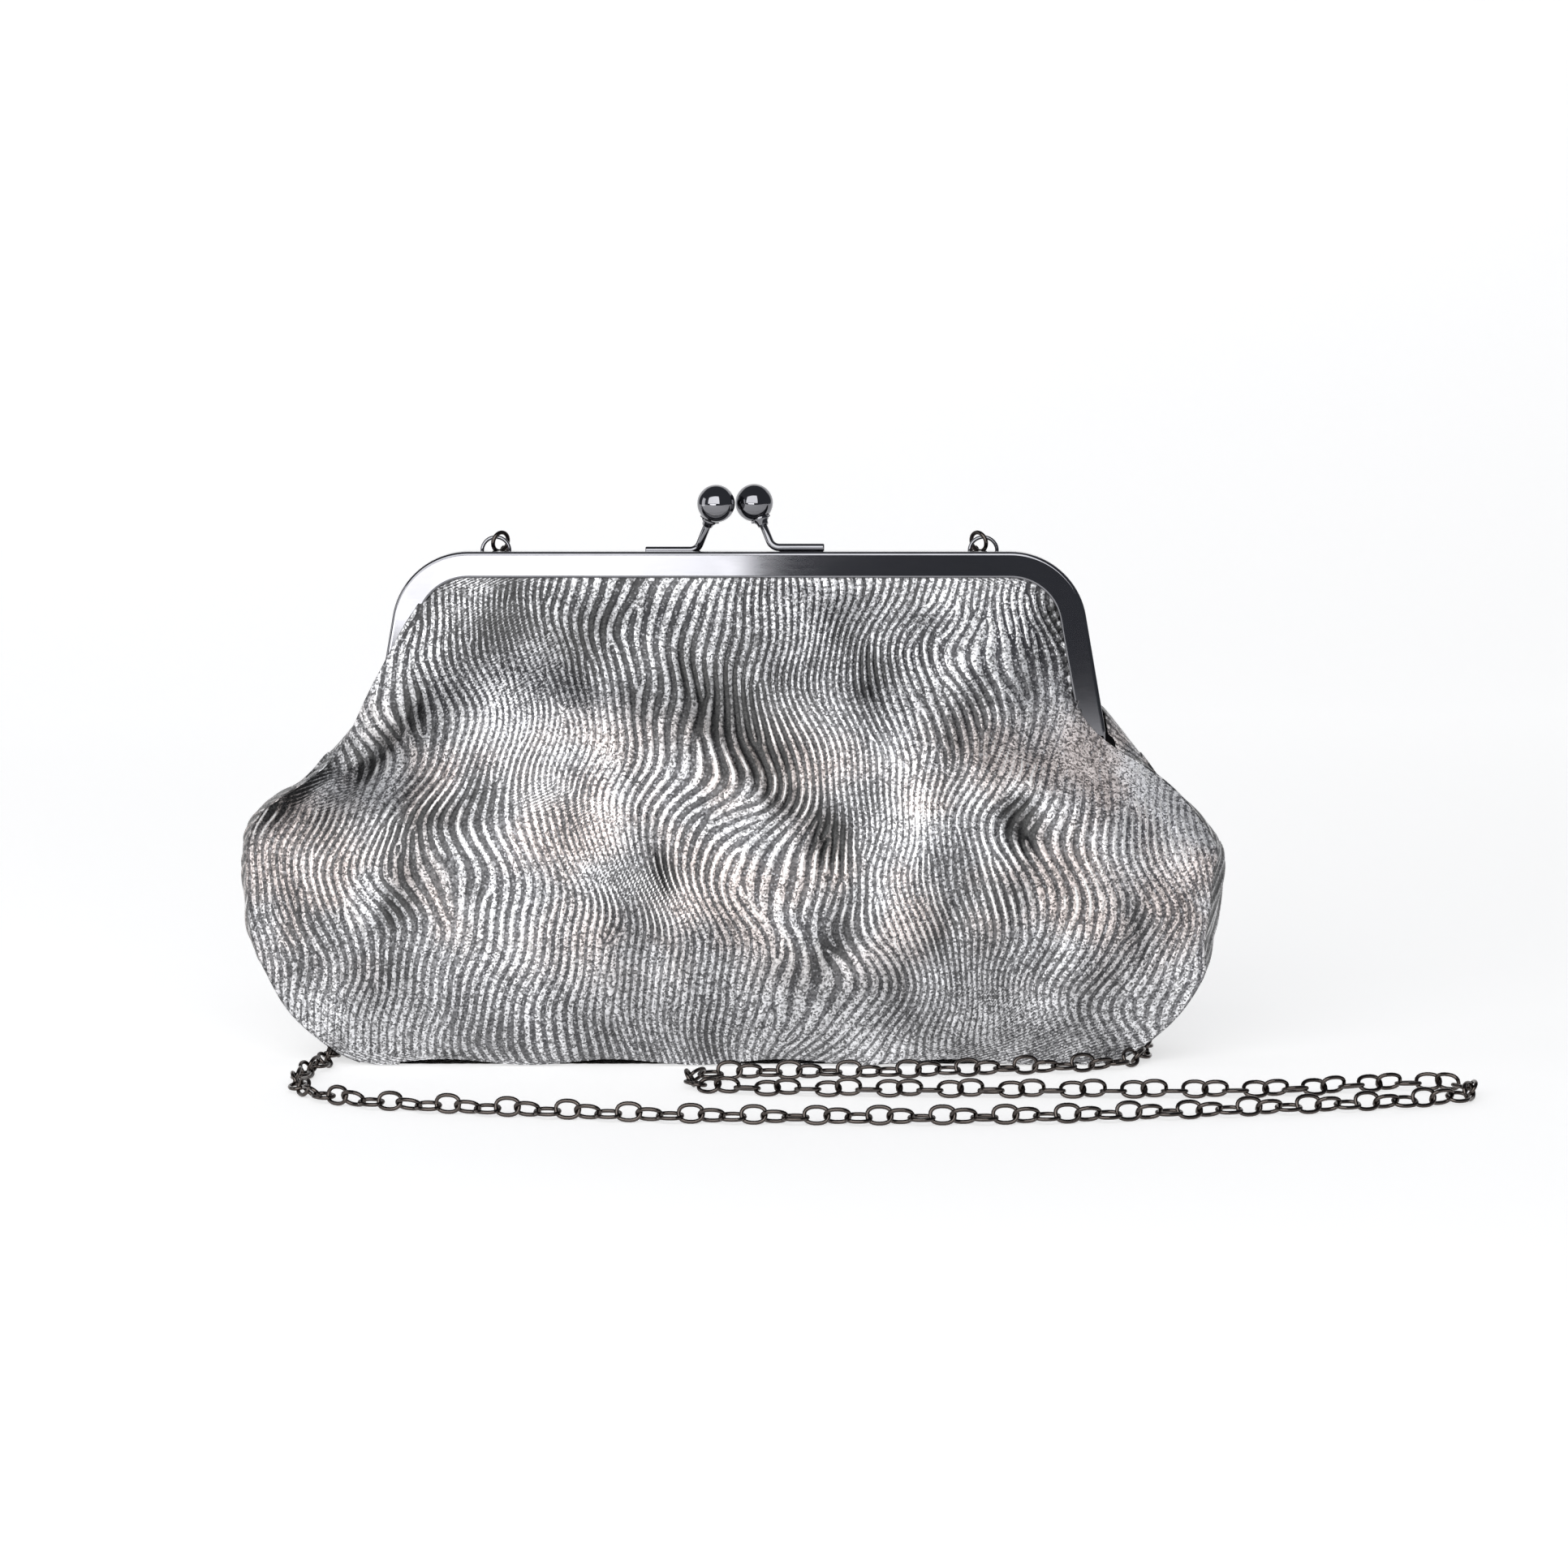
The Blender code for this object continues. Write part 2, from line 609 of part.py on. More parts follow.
def paper_cord(half, material):
    """Twisted paper cord that packs the fabric into the frame's channel."""
    inset = BACK_INSET if half == "back" else 0.0
    n = PAPER_CORD_N + inset
    y = SIDE_SIGN[half] * PAPER_CORD_Y
    turn = [2 * math.pi * k / 6 for k in range(6)]
    profile = [(n + PAPER_CORD_RADIUS * math.cos(a), y + PAPER_CORD_RADIUS * math.sin(a)) for a in turn]
    stations, _ = frame_stations(LEG_KINK_Z)
    return mesh_object(f"{half}_channel_cord", sweep(stations, profile), material)


def build():
    clear_scene()
    gunmetal = make_material("gunmetal", (0.11, 0.11, 0.125), 0.16, 1.0)
    chain_metal = make_material("chain_metal", (0.10, 0.09, 0.085), 0.22, 1.0)
    glitter = make_material("glitter_fabric", (0.47, 0.47, 0.49), 0.45, 0.3)
    satin = make_material("satin_lining", (0.05, 0.05, 0.055), 0.5, 0.0)
    fleece = make_material("fleece", (0.8, 0.8, 0.78), 0.95, 0.0)
    card = make_material("card", (0.45, 0.38, 0.30), 0.85, 0.0)
    paper = make_material("twisted_paper", (0.62, 0.55, 0.42), 0.9, 0.0)

    for half in ("front", "back"):
        frame_half(half, gunmetal)
        lock_post(half, gunmetal)
        lock_collar(half, gunmetal)
        lock_ball(half, gunmetal)
        paper_cord(half, paper)
    for name, side in (("right", 1), ("left", -1)):
        hinge_rivet(f"hinge_rivet_{name}", side, gunmetal)
        bail(f"chain_bail_{name}", side, gunmetal)
        jump_ring(f"jump_ring_{name}", side, chain_metal)

    against_frame = [FRAME_TOP - PANEL_TOP_N["front"], *UPPER_ROWS, SPLIT_Z + SPLIT_GAP]
    whole_back = [FRAME_TOP - PANEL_TOP_N["back"], *UPPER_ROWS, SPLIT_Z + SPLIT_GAP, *LOWER_ROWS]
    behind = PANEL_THICKNESS + LAYER_GAP
    inner_rows = [h for h in LOWER_ROWS if h > 1.5 * LINING_INSET]
    wadding_rows = [h for h in inner_rows if h < GUSSET_HALF[-2][0]]

    panel("front_panel_upper", "front", against_frame, 0.0, lambda h: 0.0, PANEL_THICKNESS, glitter)
    panel("front_panel_lower", "front", LOWER_ROWS, 0.0, lambda h: 0.0, PANEL_THICKNESS, glitter)
    panel("back_panel", "back", whole_back, 0.0, lambda h: 0.0, PANEL_THICKNESS, glitter)
    side_strip("gusset", 0.0, 0.0, PANEL_THICKNESS, GUSSET_CROWN, LOWER_ROWS[1], glitter)
    for half in ("front", "back"):
        name = f"{half}_wadding"
        panel(name, half, wadding_rows, INNER_SHRINK, lambda h: behind, WADDING_THICKNESS, fleece)
    panel("front_lining_upper", "front", against_frame, 0.0, lining_offset, LINING_THICKNESS, satin)
    panel("front_lining_lower", "front", inner_rows, INNER_SHRINK, lining_offset, LINING_THICKNESS, satin)
    whole_lining = [h for h in whole_back if h > 1.5 * LINING_INSET]
    panel("back_lining", "back", whole_lining, INNER_SHRINK, lining_offset, LINING_THICKNESS, satin)
    lining_top = LOWER_ROWS[3]
    side_strip("gusset_lining", LINING_INSET, LINING_STRIP_NARROWER, LINING_THICKNESS, 0.0, lining_top, satin)
    base_board(card)
    tube("chain_strap", smooth_route(CHAIN_ROUTE, CHAIN_SAMPLES), CHAIN_RADIUS, chain_metal)


build()
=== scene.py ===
"""Looks of the evening bag: ribbed glitter pouch, polished purse frame, ball clasp and a cable-link chain.

Metres, +Z up, the front of the bag faces -Y, the origin is the middle of the flat base.
"""

import math

import bpy
import numpy as np
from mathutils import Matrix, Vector


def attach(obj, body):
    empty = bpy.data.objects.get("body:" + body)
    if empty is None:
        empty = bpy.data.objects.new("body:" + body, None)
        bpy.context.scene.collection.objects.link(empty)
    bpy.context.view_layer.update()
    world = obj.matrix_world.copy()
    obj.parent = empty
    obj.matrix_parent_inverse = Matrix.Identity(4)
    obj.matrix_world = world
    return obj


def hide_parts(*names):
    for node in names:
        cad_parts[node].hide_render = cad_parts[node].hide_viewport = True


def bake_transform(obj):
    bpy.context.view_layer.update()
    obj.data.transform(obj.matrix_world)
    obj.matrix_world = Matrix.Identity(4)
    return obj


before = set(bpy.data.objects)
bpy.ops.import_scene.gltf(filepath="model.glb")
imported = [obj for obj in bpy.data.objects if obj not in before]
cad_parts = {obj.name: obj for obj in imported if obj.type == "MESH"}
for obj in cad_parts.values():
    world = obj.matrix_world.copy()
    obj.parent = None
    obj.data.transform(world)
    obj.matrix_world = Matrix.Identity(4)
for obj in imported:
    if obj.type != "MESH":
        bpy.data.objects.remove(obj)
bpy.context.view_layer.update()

# Purse frame; n is the distance inwards from its outer outline.
FRAME_TOP = 0.1427
FRAME_HALF_WIDTH = 0.1028
CORNER_RADIUS = 0.0216
LEG_SLANT = math.radians(10.0)
LEG_KINK_Z = 0.0925
CHANNEL_END_Z = 0.0910
SHEET = 0.0008
FACE_WIDTH = 0.0073
REAR_WALL_WIDTH = 0.0063
CHANNEL_NEAR = 0.00015
CHANNEL_FAR = 0.0053
EDGE_ROUND = 0.0009
INNER_ROUND = 0.0004
BACK_INSET = 0.0012
HINGE_Z = 0.0870
EAR_RADIUS = 0.0033
EAR_SHOULDER = 0.0030
EAR_TOP = 0.0046
INSET = {"front": 0.0, "back": BACK_INSET}
BODY = {"front": "front_frame_half", "back": "bag"}

# Ball clasp.
BALL_RADIUS = 0.00530
BALL_Z = 0.1560
BALL_X = {"front": 0.00412, "back": -0.00652}
BALL_PASS_Y = 0.0019
WIRE_RADIUS = 0.00108
FOOT_BEND_X = {"front": 0.0092, "back": -0.0119}
FOOT_LENGTH = 0.0143
FOOT_BEND_RADIUS = 0.0030
CHANNEL_MID = 0.0027
COLLAR_HEIGHT = 0.0019
CLAW_RADIUS = 0.00042
CLAW_LIFT = 0.0002

# Strap fittings.
BAIL_X = 0.0686
BAIL_Y = 0.0043
BAIL_HALF_WIDTH = 0.00385
BAIL_LEG = 0.0009
BAIL_HEIGHT = 0.0038
BAIL_WIRE = 0.00055
RING_MAJOR = 0.0027
RING_WIRE = 0.00060
RING_HANG = 0.0014
RING_PLACE = math.radians(75.0)
RING_ALONG_WIRE = 0.70
RING_LEAN = (0.0, -0.60, 0.82)

# Chain.
LINK_PITCH = 0.0055
LINK_WIRE = 0.00056
LINK_HALF_LENGTH = 0.00322
LINK_HALF_WIDTH = 0.00226
LINK_TWIST = math.radians(60.0)
LINK_FIRST_ROLL = math.radians(70.0)
CHAIN_ROUTE = [
    (-0.0640, 0.0095, 0.1370), (-0.0660, 0.0170, 0.1110), (-0.0705, 0.0302, 0.0800),
    (-0.0745, 0.0378, 0.0500), (-0.0785, 0.0382, 0.0210), (-0.0835, 0.0396, 0.0080),
    (-0.0940, 0.0388, 0.0026), (-0.1060, 0.0322, 0.0023), (-0.1126, 0.0205, 0.0023),
    (-0.1142, 0.0020, 0.0023), (-0.1155, -0.0250, 0.0023), (-0.1205, -0.0500, 0.0023),
    (-0.1165, -0.0690, 0.0023), (-0.1000, -0.0845, 0.0023), (-0.0600, -0.0965, 0.0023),
    (-0.0100, -0.1055, 0.0023), (0.0700, -0.1070, 0.0023), (0.1400, -0.0945, 0.0023),
    (0.1860, -0.0820, 0.0023), (0.1975, -0.0720, 0.0023), (0.1935, -0.0605, 0.0023),
    (0.1780, -0.0590, 0.0023), (0.1400, -0.0690, 0.0023), (0.0700, -0.0695, 0.0023),
    (0.0050, -0.0660, 0.0023), (-0.0110, -0.0600, 0.0023), (-0.0125, -0.0500, 0.0023),
    (-0.0010, -0.0435, 0.0023), (0.0450, -0.0412, 0.0023), (0.1010, -0.0300, 0.0023),
    (0.1138, -0.0115, 0.0023), (0.1138, 0.0130, 0.0023), (0.1065, 0.0318, 0.0023),
    (0.0940, 0.0388, 0.0026), (0.0835, 0.0396, 0.0080), (0.0785, 0.0382, 0.0210),
    (0.0745, 0.0378, 0.0500), (0.0705, 0.0302, 0.0800), (0.0660, 0.0170, 0.1110),
    (0.0640, 0.0095, 0.1370),
]
RING_END = (0.0667, 0.0066, 0.1422)
FLOOR_LIFT = 0.0004
ON_FLOOR = 0.004
LEAST_LIFT = 0.0019

# Pouch: (height above the base, half-width) of each panel's rim, from the base upwards.
RIM_UNDER_FACE = 0.0056
RIM_X = {
    ("front", -1): [
        (0.0004, 0.1020), (0.0015, 0.1075), (0.0036, 0.1118),
        (0.0062, 0.1158), (0.0109, 0.1218), (0.0156, 0.1262),
        (0.0205, 0.1293), (0.0249, 0.1314), (0.0296, 0.1338), (0.0342, 0.1357), (0.0389, 0.1368),
        (0.0459, 0.1372), (0.0528, 0.1376), (0.0598, 0.1378), (0.0667, 0.1362), (0.0714, 0.1329),
        (0.0750, 0.1266), (0.0788, 0.1204), (0.0846, 0.1136), (0.0926, 0.1090), (0.1029, 0.1043),
        (0.1098, 0.1006), (0.1164, 0.0971), (0.1239, 0.0930), (0.1285, 0.0894),
    ],
    ("front", 1): [
        (0.0004, 0.1000), (0.0016, 0.1060), (0.0038, 0.1100),
        (0.0075, 0.1155), (0.0120, 0.1208), (0.0170, 0.1250),
        (0.0220, 0.1282), (0.0265, 0.1305), (0.0310, 0.1323), (0.0360, 0.1336), (0.0400, 0.1343),
        (0.0450, 0.1349), (0.0500, 0.1354), (0.0550, 0.1356), (0.0600, 0.1341), (0.0655, 0.1309),
        (0.0700, 0.1276), (0.0745, 0.1238), (0.0785, 0.1192), (0.0825, 0.1136), (0.0860, 0.1078),
        (0.0888, 0.1034), (0.0918, 0.1002), (0.0948, 0.0975), (0.0978, 0.0950),
    ],
}
RIM_X["back", -1] = [
    *[pair for pair in RIM_X["front", -1] if pair[0] < 0.0800],
    (0.0806, 0.1212), (0.0852, 0.1160), (0.0895, 0.1120), (0.0944, 0.1082), (0.1000, 0.1032),
]
RIM_X["back", 1] = [
    *[pair for pair in RIM_X["front", 1] if pair[0] < 0.0500],
    (0.0525, 0.1374), (0.0571, 0.1342), (0.0617, 0.1307), (0.0664, 0.1269), (0.0710, 0.1235),
    (0.0756, 0.1200), (0.0802, 0.1170), (0.0848, 0.1135),
    (0.0894, 0.1098), (0.0940, 0.1063), (0.1000, 0.1014),
]
RIM_JOINS_FRAME = {("front", -1): 0.1315, ("front", 1): 0.1012, ("back", -1): 0.1045, ("back", 1): 0.1045}
SIDE_PROFILE = [
    (0.0000, 0.0216), (0.0012, 0.0224), (0.0050, 0.0258),
    (0.0120, 0.0296), (0.0250, 0.0322), (0.0420, 0.0330),
    (0.0600, 0.0312), (0.0800, 0.0265), (0.1000, 0.0190), (0.1180, 0.0112), (0.1290, 0.0062),
    (0.1345, 0.00425), (0.1430, 0.00425),
]
GUSSET_HALF = [
    (0.0000, 0.0214), (0.0135, 0.0208), (0.0320, 0.0194), (0.0540, 0.0164), (0.0640, 0.0138),
    (0.0730, 0.0096), (0.0800, 0.0050), (0.0860, 0.0036),
]
PANEL_BOTTOM = 0.0004
PANEL_TOP = {"front": 0.1388, "back": 0.1376}
ROWS = 178
COLUMNS = 536
WRAP_COLUMNS = 12
WRAP_TOP = {("front", -1): 0.1065, ("front", 1): 0.0890, ("back", -1): 0.0995, ("back", 1): 0.1000}
SHOULDER_REACH = 0.050
FRAME_REACH = 0.030
STRIPE_PITCH = 0.00245
RIDGE_HEIGHT = 0.00030
FORKS = 100
CORNER_BLUR = 0.0032
GUSSET_SHOWS = 0.0034  # how much of the gusset shows beside the front panel's right rim
FOLD_DEPTH = 1.35
# strength of the folds' painted shade and painted light
FOLD_PAINTED_SHADE = 1.15
DIMPLE_HEIGHT = 0.0005
GATHER_REACH = 0.0050
GATHER_PITCH = 0.0036
GATHER_HEIGHT = 0.00060
GATHER_PAINTED_SHADE = 0.62
HEM_WAVE = 0.0009
HEM_PITCH = 0.047
BASE_HALF = 0.095
WRAP_BOTTOM = 0.078
LEG_CLEARANCE = 0.0007
RIVET_CLEARANCE = 0.0015
SEAM_TOP = 0.0850
SEAM_INSET = 0.0004
SEAM_RADIUS = 0.00055
SEAM_TONE = -0.3
GUSSET_CROWN = 0.0030
GUSSET_RIB_PITCH = 0.0034
GUSSET_RIB_HEIGHT = 0.0003
GUSSET_PAINTED_SHADE = -0.55
PUCKER_PITCH = 0.016
PUCKER_HEIGHT = 0.0005
LINING_GAP = [(0.078, 0.0038), (LEG_KINK_Z, 0.0030), (0.130, 0.0020), (0.137, 0.0012)]
LINING_SAG = 0.0005
GUSSET_LINING_GAP = 0.0040
GUSSET_LINING_TOP = 0.072

# Colours, and the scales of the fabric's noises.
GUNMETAL = (0.235, 0.235, 0.250)
DARK_STEEL = (0.086, 0.074, 0.068)
SATIN = (0.050, 0.050, 0.056)
SATIN_LIGHT = (0.080, 0.080, 0.088)
CARD = (0.45, 0.38, 0.30)
CARD_DARK = (0.36, 0.30, 0.23)
PAPER = (0.62, 0.55, 0.42)
PAPER_DARK = (0.50, 0.43, 0.32)
SILVER = (0.66, 0.66, 0.675)
ROSE_SILVER = (0.69, 0.615, 0.590)
GROOVE = (0.026, 0.026, 0.031)
STRAY_FLAKE = (0.42, 0.42, 0.44)
# colour of the painted glints on the ridge tops
GLINT_WHITE = (0.95, 0.94, 0.93)
FLAKE_SCALE = 2000.0
FRAY_SCALE = 1400.0
SHADE_MOTTLE_SCALE = 75.0
GLINT_SCALE = 70.0
FADE_SCALE = 55.0
PATCH_SCALE = 42.0
WARM_SCALE = 38.0
WARM_FROM = (0.018, 0.045)
WARM_TO = (0.106, 0.088)

# Camera.
CAMERA_PLACE = (0.0125, -1.300, 0.235)
CAMERA_TILT_DEG = 6.942
CAMERA_LENS_MM = 106.5
CAMERA_SENSOR_MM = 36.0

# Soft folds: (x, z, half-length, half-width, direction from vertical in degrees, outward height, painted
# shade, negative for darker and positive for lighter).
FRONT_FOLDS = [
    (-0.0130, 0.1110, 0.0090, 0.0055, 25, -0.0009, -0.45),
    (-0.0010, 0.0990, 0.0110, 0.0085, 20, -0.0012, -0.52),
    (0.0060, 0.0880, 0.0080, 0.0075, 15, -0.0009, -0.42),
    (0.0140, 0.0760, 0.0090, 0.0040, 50, -0.0010, -0.45),
    (0.0260, 0.0660, 0.0090, 0.0065, 20, -0.0016, -0.75),
    (0.0785, 0.0710, 0.0075, 0.0060, 30, -0.0015, -0.68),
    (0.0660, 0.1015, 0.0140, 0.0050, -28, -0.0013, -0.55),
    (-0.0200, 0.0565, 0.0090, 0.0028, 20, -0.0011, -0.60),
    (0.0380, 0.1110, 0.0080, 0.0050, -10, -0.0006, -0.35),
    (-0.0780, 0.0725, 0.0160, 0.0050, -75, -0.0010, -0.34),
    (-0.0440, 0.1070, 0.0090, 0.0060, 25, -0.0008, -0.34),
    (-0.0750, 0.1210, 0.0220, 0.0130, 60, -0.0004, -0.26),
    (-0.0400, 0.1220, 0.0140, 0.0100, 0, -0.0004, -0.22),
    (-0.1040, 0.0860, 0.0150, 0.0042, -46, -0.0022, -0.92),
    (-0.0910, 0.1030, 0.0110, 0.0045, -45, -0.0014, -0.52),
    (-0.1290, 0.0730, 0.0090, 0.0040, -55, -0.0012, -0.80),
    (-0.1190, 0.0810, 0.0110, 0.0030, -47, -0.0008, -0.95),
    (-0.1150, 0.0765, 0.0100, 0.0022, -52, 0.0010, 0.35),
    (0.0290, 0.0390, 0.0140, 0.0050, -25, -0.0010, -0.30),
    (0.0050, 0.0300, 0.0120, 0.0050, 20, -0.0009, -0.25),
    (0.0600, 0.0450, 0.0130, 0.0040, -30, -0.0010, -0.28),
    (0.0850, 0.0300, 0.0130, 0.0040, -25, -0.0009, -0.25),
    (-0.0300, 0.0280, 0.0120, 0.0050, 15, -0.0009, -0.25),
    (-0.0950, 0.0450, 0.0130, 0.0050, -30, -0.0010, -0.28),
    (-0.1150, 0.0350, 0.0120, 0.0050, 10, -0.0009, -0.20),
    (0.1100, 0.0450, 0.0120, 0.0040, 20, -0.0009, -0.22),
    (-0.0580, 0.0970, 0.0170, 0.0130, 60, 0.0016, 0.55),
    (-0.0610, 0.0610, 0.0160, 0.0120, 0, 0.0012, 0.35),
    (-0.0660, 0.0300, 0.0150, 0.0160, 0, 0.0009, 0.30),
    (0.0010, 0.0560, 0.0140, 0.0080, 0, 0.0012, 0.45),
    (-0.0350, 0.0800, 0.0140, 0.0070, 10, 0.0010, 0.35),
    (-0.0120, 0.0700, 0.0090, 0.0050, 20, 0.0008, 0.30),
    (0.0520, 0.0720, 0.0120, 0.0080, 20, 0.0013, 0.45),
    (0.0910, 0.0870, 0.0120, 0.0080, 10, 0.0010, 0.50),
    (0.1110, 0.0790, 0.0160, 0.0085, 40, 0.0008, 1.05),
    (0.0720, 0.1190, 0.0120, 0.0090, -20, 0.0007, 0.35),
    (0.0200, 0.1180, 0.0140, 0.0090, 0, 0.0009, 0.20),
    (0.0450, 0.0920, 0.0100, 0.0060, -20, 0.0008, 0.30),
    (0.1030, 0.0620, 0.0140, 0.0090, 10, 0.0010, 0.35),
    (0.1240, 0.0300, 0.0140, 0.0080, -15, 0.0003, 0.45),
    (0.0900, 0.1000, 0.0140, 0.0060, 25, 0.0003, 0.55),
    (0.0080, 0.1060, 0.0220, 0.0170, 0, 0.0000, -0.26),
    (0.0640, 0.1130, 0.0160, 0.0080, 10, 0.0004, 0.30),
    (-0.0980, 0.0700, 0.0130, 0.0110, 30, 0.0004, -0.22),
    (0.0280, 0.0900, 0.0100, 0.0080, 0, 0.0004, 0.35),
    (0.1230, 0.0580, 0.0160, 0.0090, 10, 0.0006, 0.60),
]
BACK_FOLDS = [
    (-0.0950, 0.0880, 0.0200, 0.0046, -44, -0.0014, -0.40),
    (0.0980, 0.0860, 0.0200, 0.0046, 44, -0.0014, -0.40),
    (-0.0300, 0.0980, 0.0170, 0.0050, 10, -0.0007, -0.35),
    (0.0300, 0.0760, 0.0190, 0.0060, -20, -0.0007, -0.35),
    (0.0020, 0.0400, 0.0180, 0.0060, 12, -0.0006, -0.28),
    (-0.0600, 0.0440, 0.0190, 0.0060, -18, -0.0006, -0.28),
    (0.0600, 0.1060, 0.0170, 0.0120, 0, 0.0006, 0.24),
    (-0.0650, 0.1060, 0.0180, 0.0140, 0, 0.0006, 0.24),
    (0.0000, 0.0840, 0.0180, 0.0130, 0, 0.0006, 0.24),
]

SIDE_SIGN = {"front": -1.0, "back": 1.0}


# Materials.


def new_material(name, colour, roughness, metallic=0.0):
    material = bpy.data.materials.new(name)
    material.use_nodes = True
    shader = material.node_tree.nodes["Principled BSDF"]
    shader.inputs["Base Color"].default_value = (*colour, 1.0)
    shader.inputs["Roughness"].default_value = roughness
    shader.inputs["Metallic"].default_value = metallic
    return material


def plug(material, value, socket):
    """Feed a socket from another node's output, or set it to a plain value."""
    if isinstance(value, bpy.types.NodeSocket):
        material.node_tree.links.new(value, socket)
    else:
        socket.default_value = value


def node(material, kind, output=0, settings=(), **values):
    made = material.node_tree.nodes.new(kind)
    for key, value in settings:
        setattr(made, key, value)
    for key, value in values.items():
        plug(material, value, made.inputs[key.replace("_", " ")])
    return made.outputs[output]


def sums(material, operation, *values):
    made = material.node_tree.nodes.new("ShaderNodeMath")
    made.operation = operation
    for value, socket in zip(values, made.inputs):
        plug(material, value, socket)
    return made.outputs[0]


def mixed(material, share, first, second, blend="MIX"):
    made = material.node_tree.nodes.new("ShaderNodeMix")
    made.data_type = "RGBA"
    made.blend_type = blend
    plug(material, share, made.inputs[0])
    plug(material, first, made.inputs[6])
    plug(material, second, made.inputs[7])
    return made.outputs[2]


def ranged(material, value, low, high, new_low=0.0, new_high=1.0):
    return node(
        material, "ShaderNodeMapRange", settings=[("interpolation_type", "SMOOTHSTEP")],
        Value=value, From_Min=low, From_Max=high, To_Min=new_low, To_Max=new_high,
    )


def place_coordinates(material):
    return material.node_tree.nodes.new("ShaderNodeTexCoord").outputs["Object"]


def noise(material, scale, detail=2.0, stretch=None):
    where = place_coordinates(material)
    if stretch:
        where = node(material, "ShaderNodeMapping", Vector=where, Scale=stretch)
    return node(material, "ShaderNodeTexNoise", Vector=where, Scale=scale, Detail=detail)


def into_shader(material, **values):
    shader = material.node_tree.nodes["Principled BSDF"]
    for key, value in values.items():
        plug(material, value, shader.inputs[key.replace("_", " ")])


def bump(material, height, strength, distance):
    return node(material, "ShaderNodeBump", Height=height, Strength=strength, Distance=distance)


def swing(material, scale, detail, gain, stretch=None):
    """Noise shifted to lie about zero, times a gain."""
    return sums(material, "MULTIPLY_ADD", noise(material, scale, detail, stretch), gain, -gain / 2)


def split(material, kind, value):
    """The three parts of a vector or a colour."""
    made = material.node_tree.nodes.new(kind)
    plug(material, value, made.inputs[0])
    return made.outputs[:3]


def glitter_material():
    """Light glitter ridges, dark matt grooves; a point attribute holds the stripes' phase and the painted
    shade or light.
    """
    material = new_material("glitter_fabric", (0.50, 0.50, 0.52), 0.42, 0.25)
    weave_and_shade = node(material, "ShaderNodeAttribute", output=1, settings=[("attribute_name", "weave_and_shade")])
    # tone is the painted shade or light stored at each point
    cosine, sine, tone = split(material, "ShaderNodeSeparateXYZ", weave_and_shade)
    where = place_coordinates(material)
    height = split(material, "ShaderNodeSeparateXYZ", where)[2]
    rib = sums(material, "COSINE", sums(material, "ARCTAN2", sine, cosine))
    # painted shade and light: the stored shade plus random painted shade mottling; lit places widen the
    # ridges
    shade = sums(material, "ADD", tone, swing(material, SHADE_MOTTLE_SCALE, 2.0, 1.7, (1.0, 1.0, 0.6)))
    width = sums(material, "MULTIPLY_ADD", shade, 0.62, rib)
    width = sums(material, "ADD", width, swing(material, PATCH_SCALE, 1.0, 2.4))
    width = sums(material, "ADD", width, swing(material, FRAY_SCALE, 3.0, 1.25))
    ridge = ranged(material, width, -0.22, 0.20)
    flakes = node(material, "ShaderNodeTexVoronoi", output="Color", Vector=where, Scale=FLAKE_SCALE)
    bright, odd, dull = split(material, "ShaderNodeSeparateColor", flakes)
    belt = ranged(material, height, *WARM_FROM)
    belt = sums(material, "MULTIPLY", belt, ranged(material, height, *WARM_TO))
    warm = sums(material, "MULTIPLY", belt, ranged(material, noise(material, WARM_SCALE), 0.40, 0.62))
    silver = mixed(material, warm, (*SILVER, 1.0), (*ROSE_SILVER, 1.0))
    pile = mixed(material, 1.0, silver, ranged(material, bright, 0.02, 0.90, 0.20, 1.48), "MULTIPLY")
    groove = mixed(material, ranged(material, odd, 0.83, 0.93), (*GROOVE, 1.0), (*STRAY_FLAKE, 1.0))
    # grooves filled in towards the pile colour, more towards the bottom and in random patches
    low_down = ranged(material, height, 0.122, 0.086, 0.10, 0.62)
    groove_fill = sums(material, "ADD", low_down, swing(material, FADE_SCALE, 2.0, 1.4))
    groove_fill = sums(material, "MINIMUM", sums(material, "MAXIMUM", groove_fill, 0.0), 1.0)
    groove = mixed(material, sums(material, "MULTIPLY", groove_fill, 0.30), groove, pile)
    # painted shade and light darken or lighten the pile and the grooves
    pile_shade = sums(material, "MAXIMUM", sums(material, "MULTIPLY_ADD", shade, 0.70, 0.80), 0.20)
    groove_shade = sums(material, "MAXIMUM", sums(material, "MULTIPLY_ADD", shade, 1.15, 0.72), 0.05)
    pile = mixed(material, 1.0, pile, pile_shade, "MULTIPLY")
    groove = mixed(material, 1.0, groove, groove_shade, "MULTIPLY")
    colour = mixed(material, ridge, groove, pile)
    # painted glints: thin white streaks on ridge tops in the middle belt, in random patches
    glint = sums(material, "MULTIPLY", ranged(material, rib, 0.70, 0.97), belt)
    glint = sums(material, "MULTIPLY", glint, ranged(material, noise(material, GLINT_SCALE), 0.50, 0.62))
    colour = mixed(material, sums(material, "MULTIPLY", glint, 0.85), colour, (*GLINT_WHITE, 1.0))
    into_shader(
        material, Base_Color=colour, Roughness=ranged(material, dull, 0.0, 1.0, 0.22, 0.52),
        Metallic=sums(material, "MULTIPLY", ridge, 0.45), Normal=bump(material, bright, 0.35, 0.00012),
    )
    return material


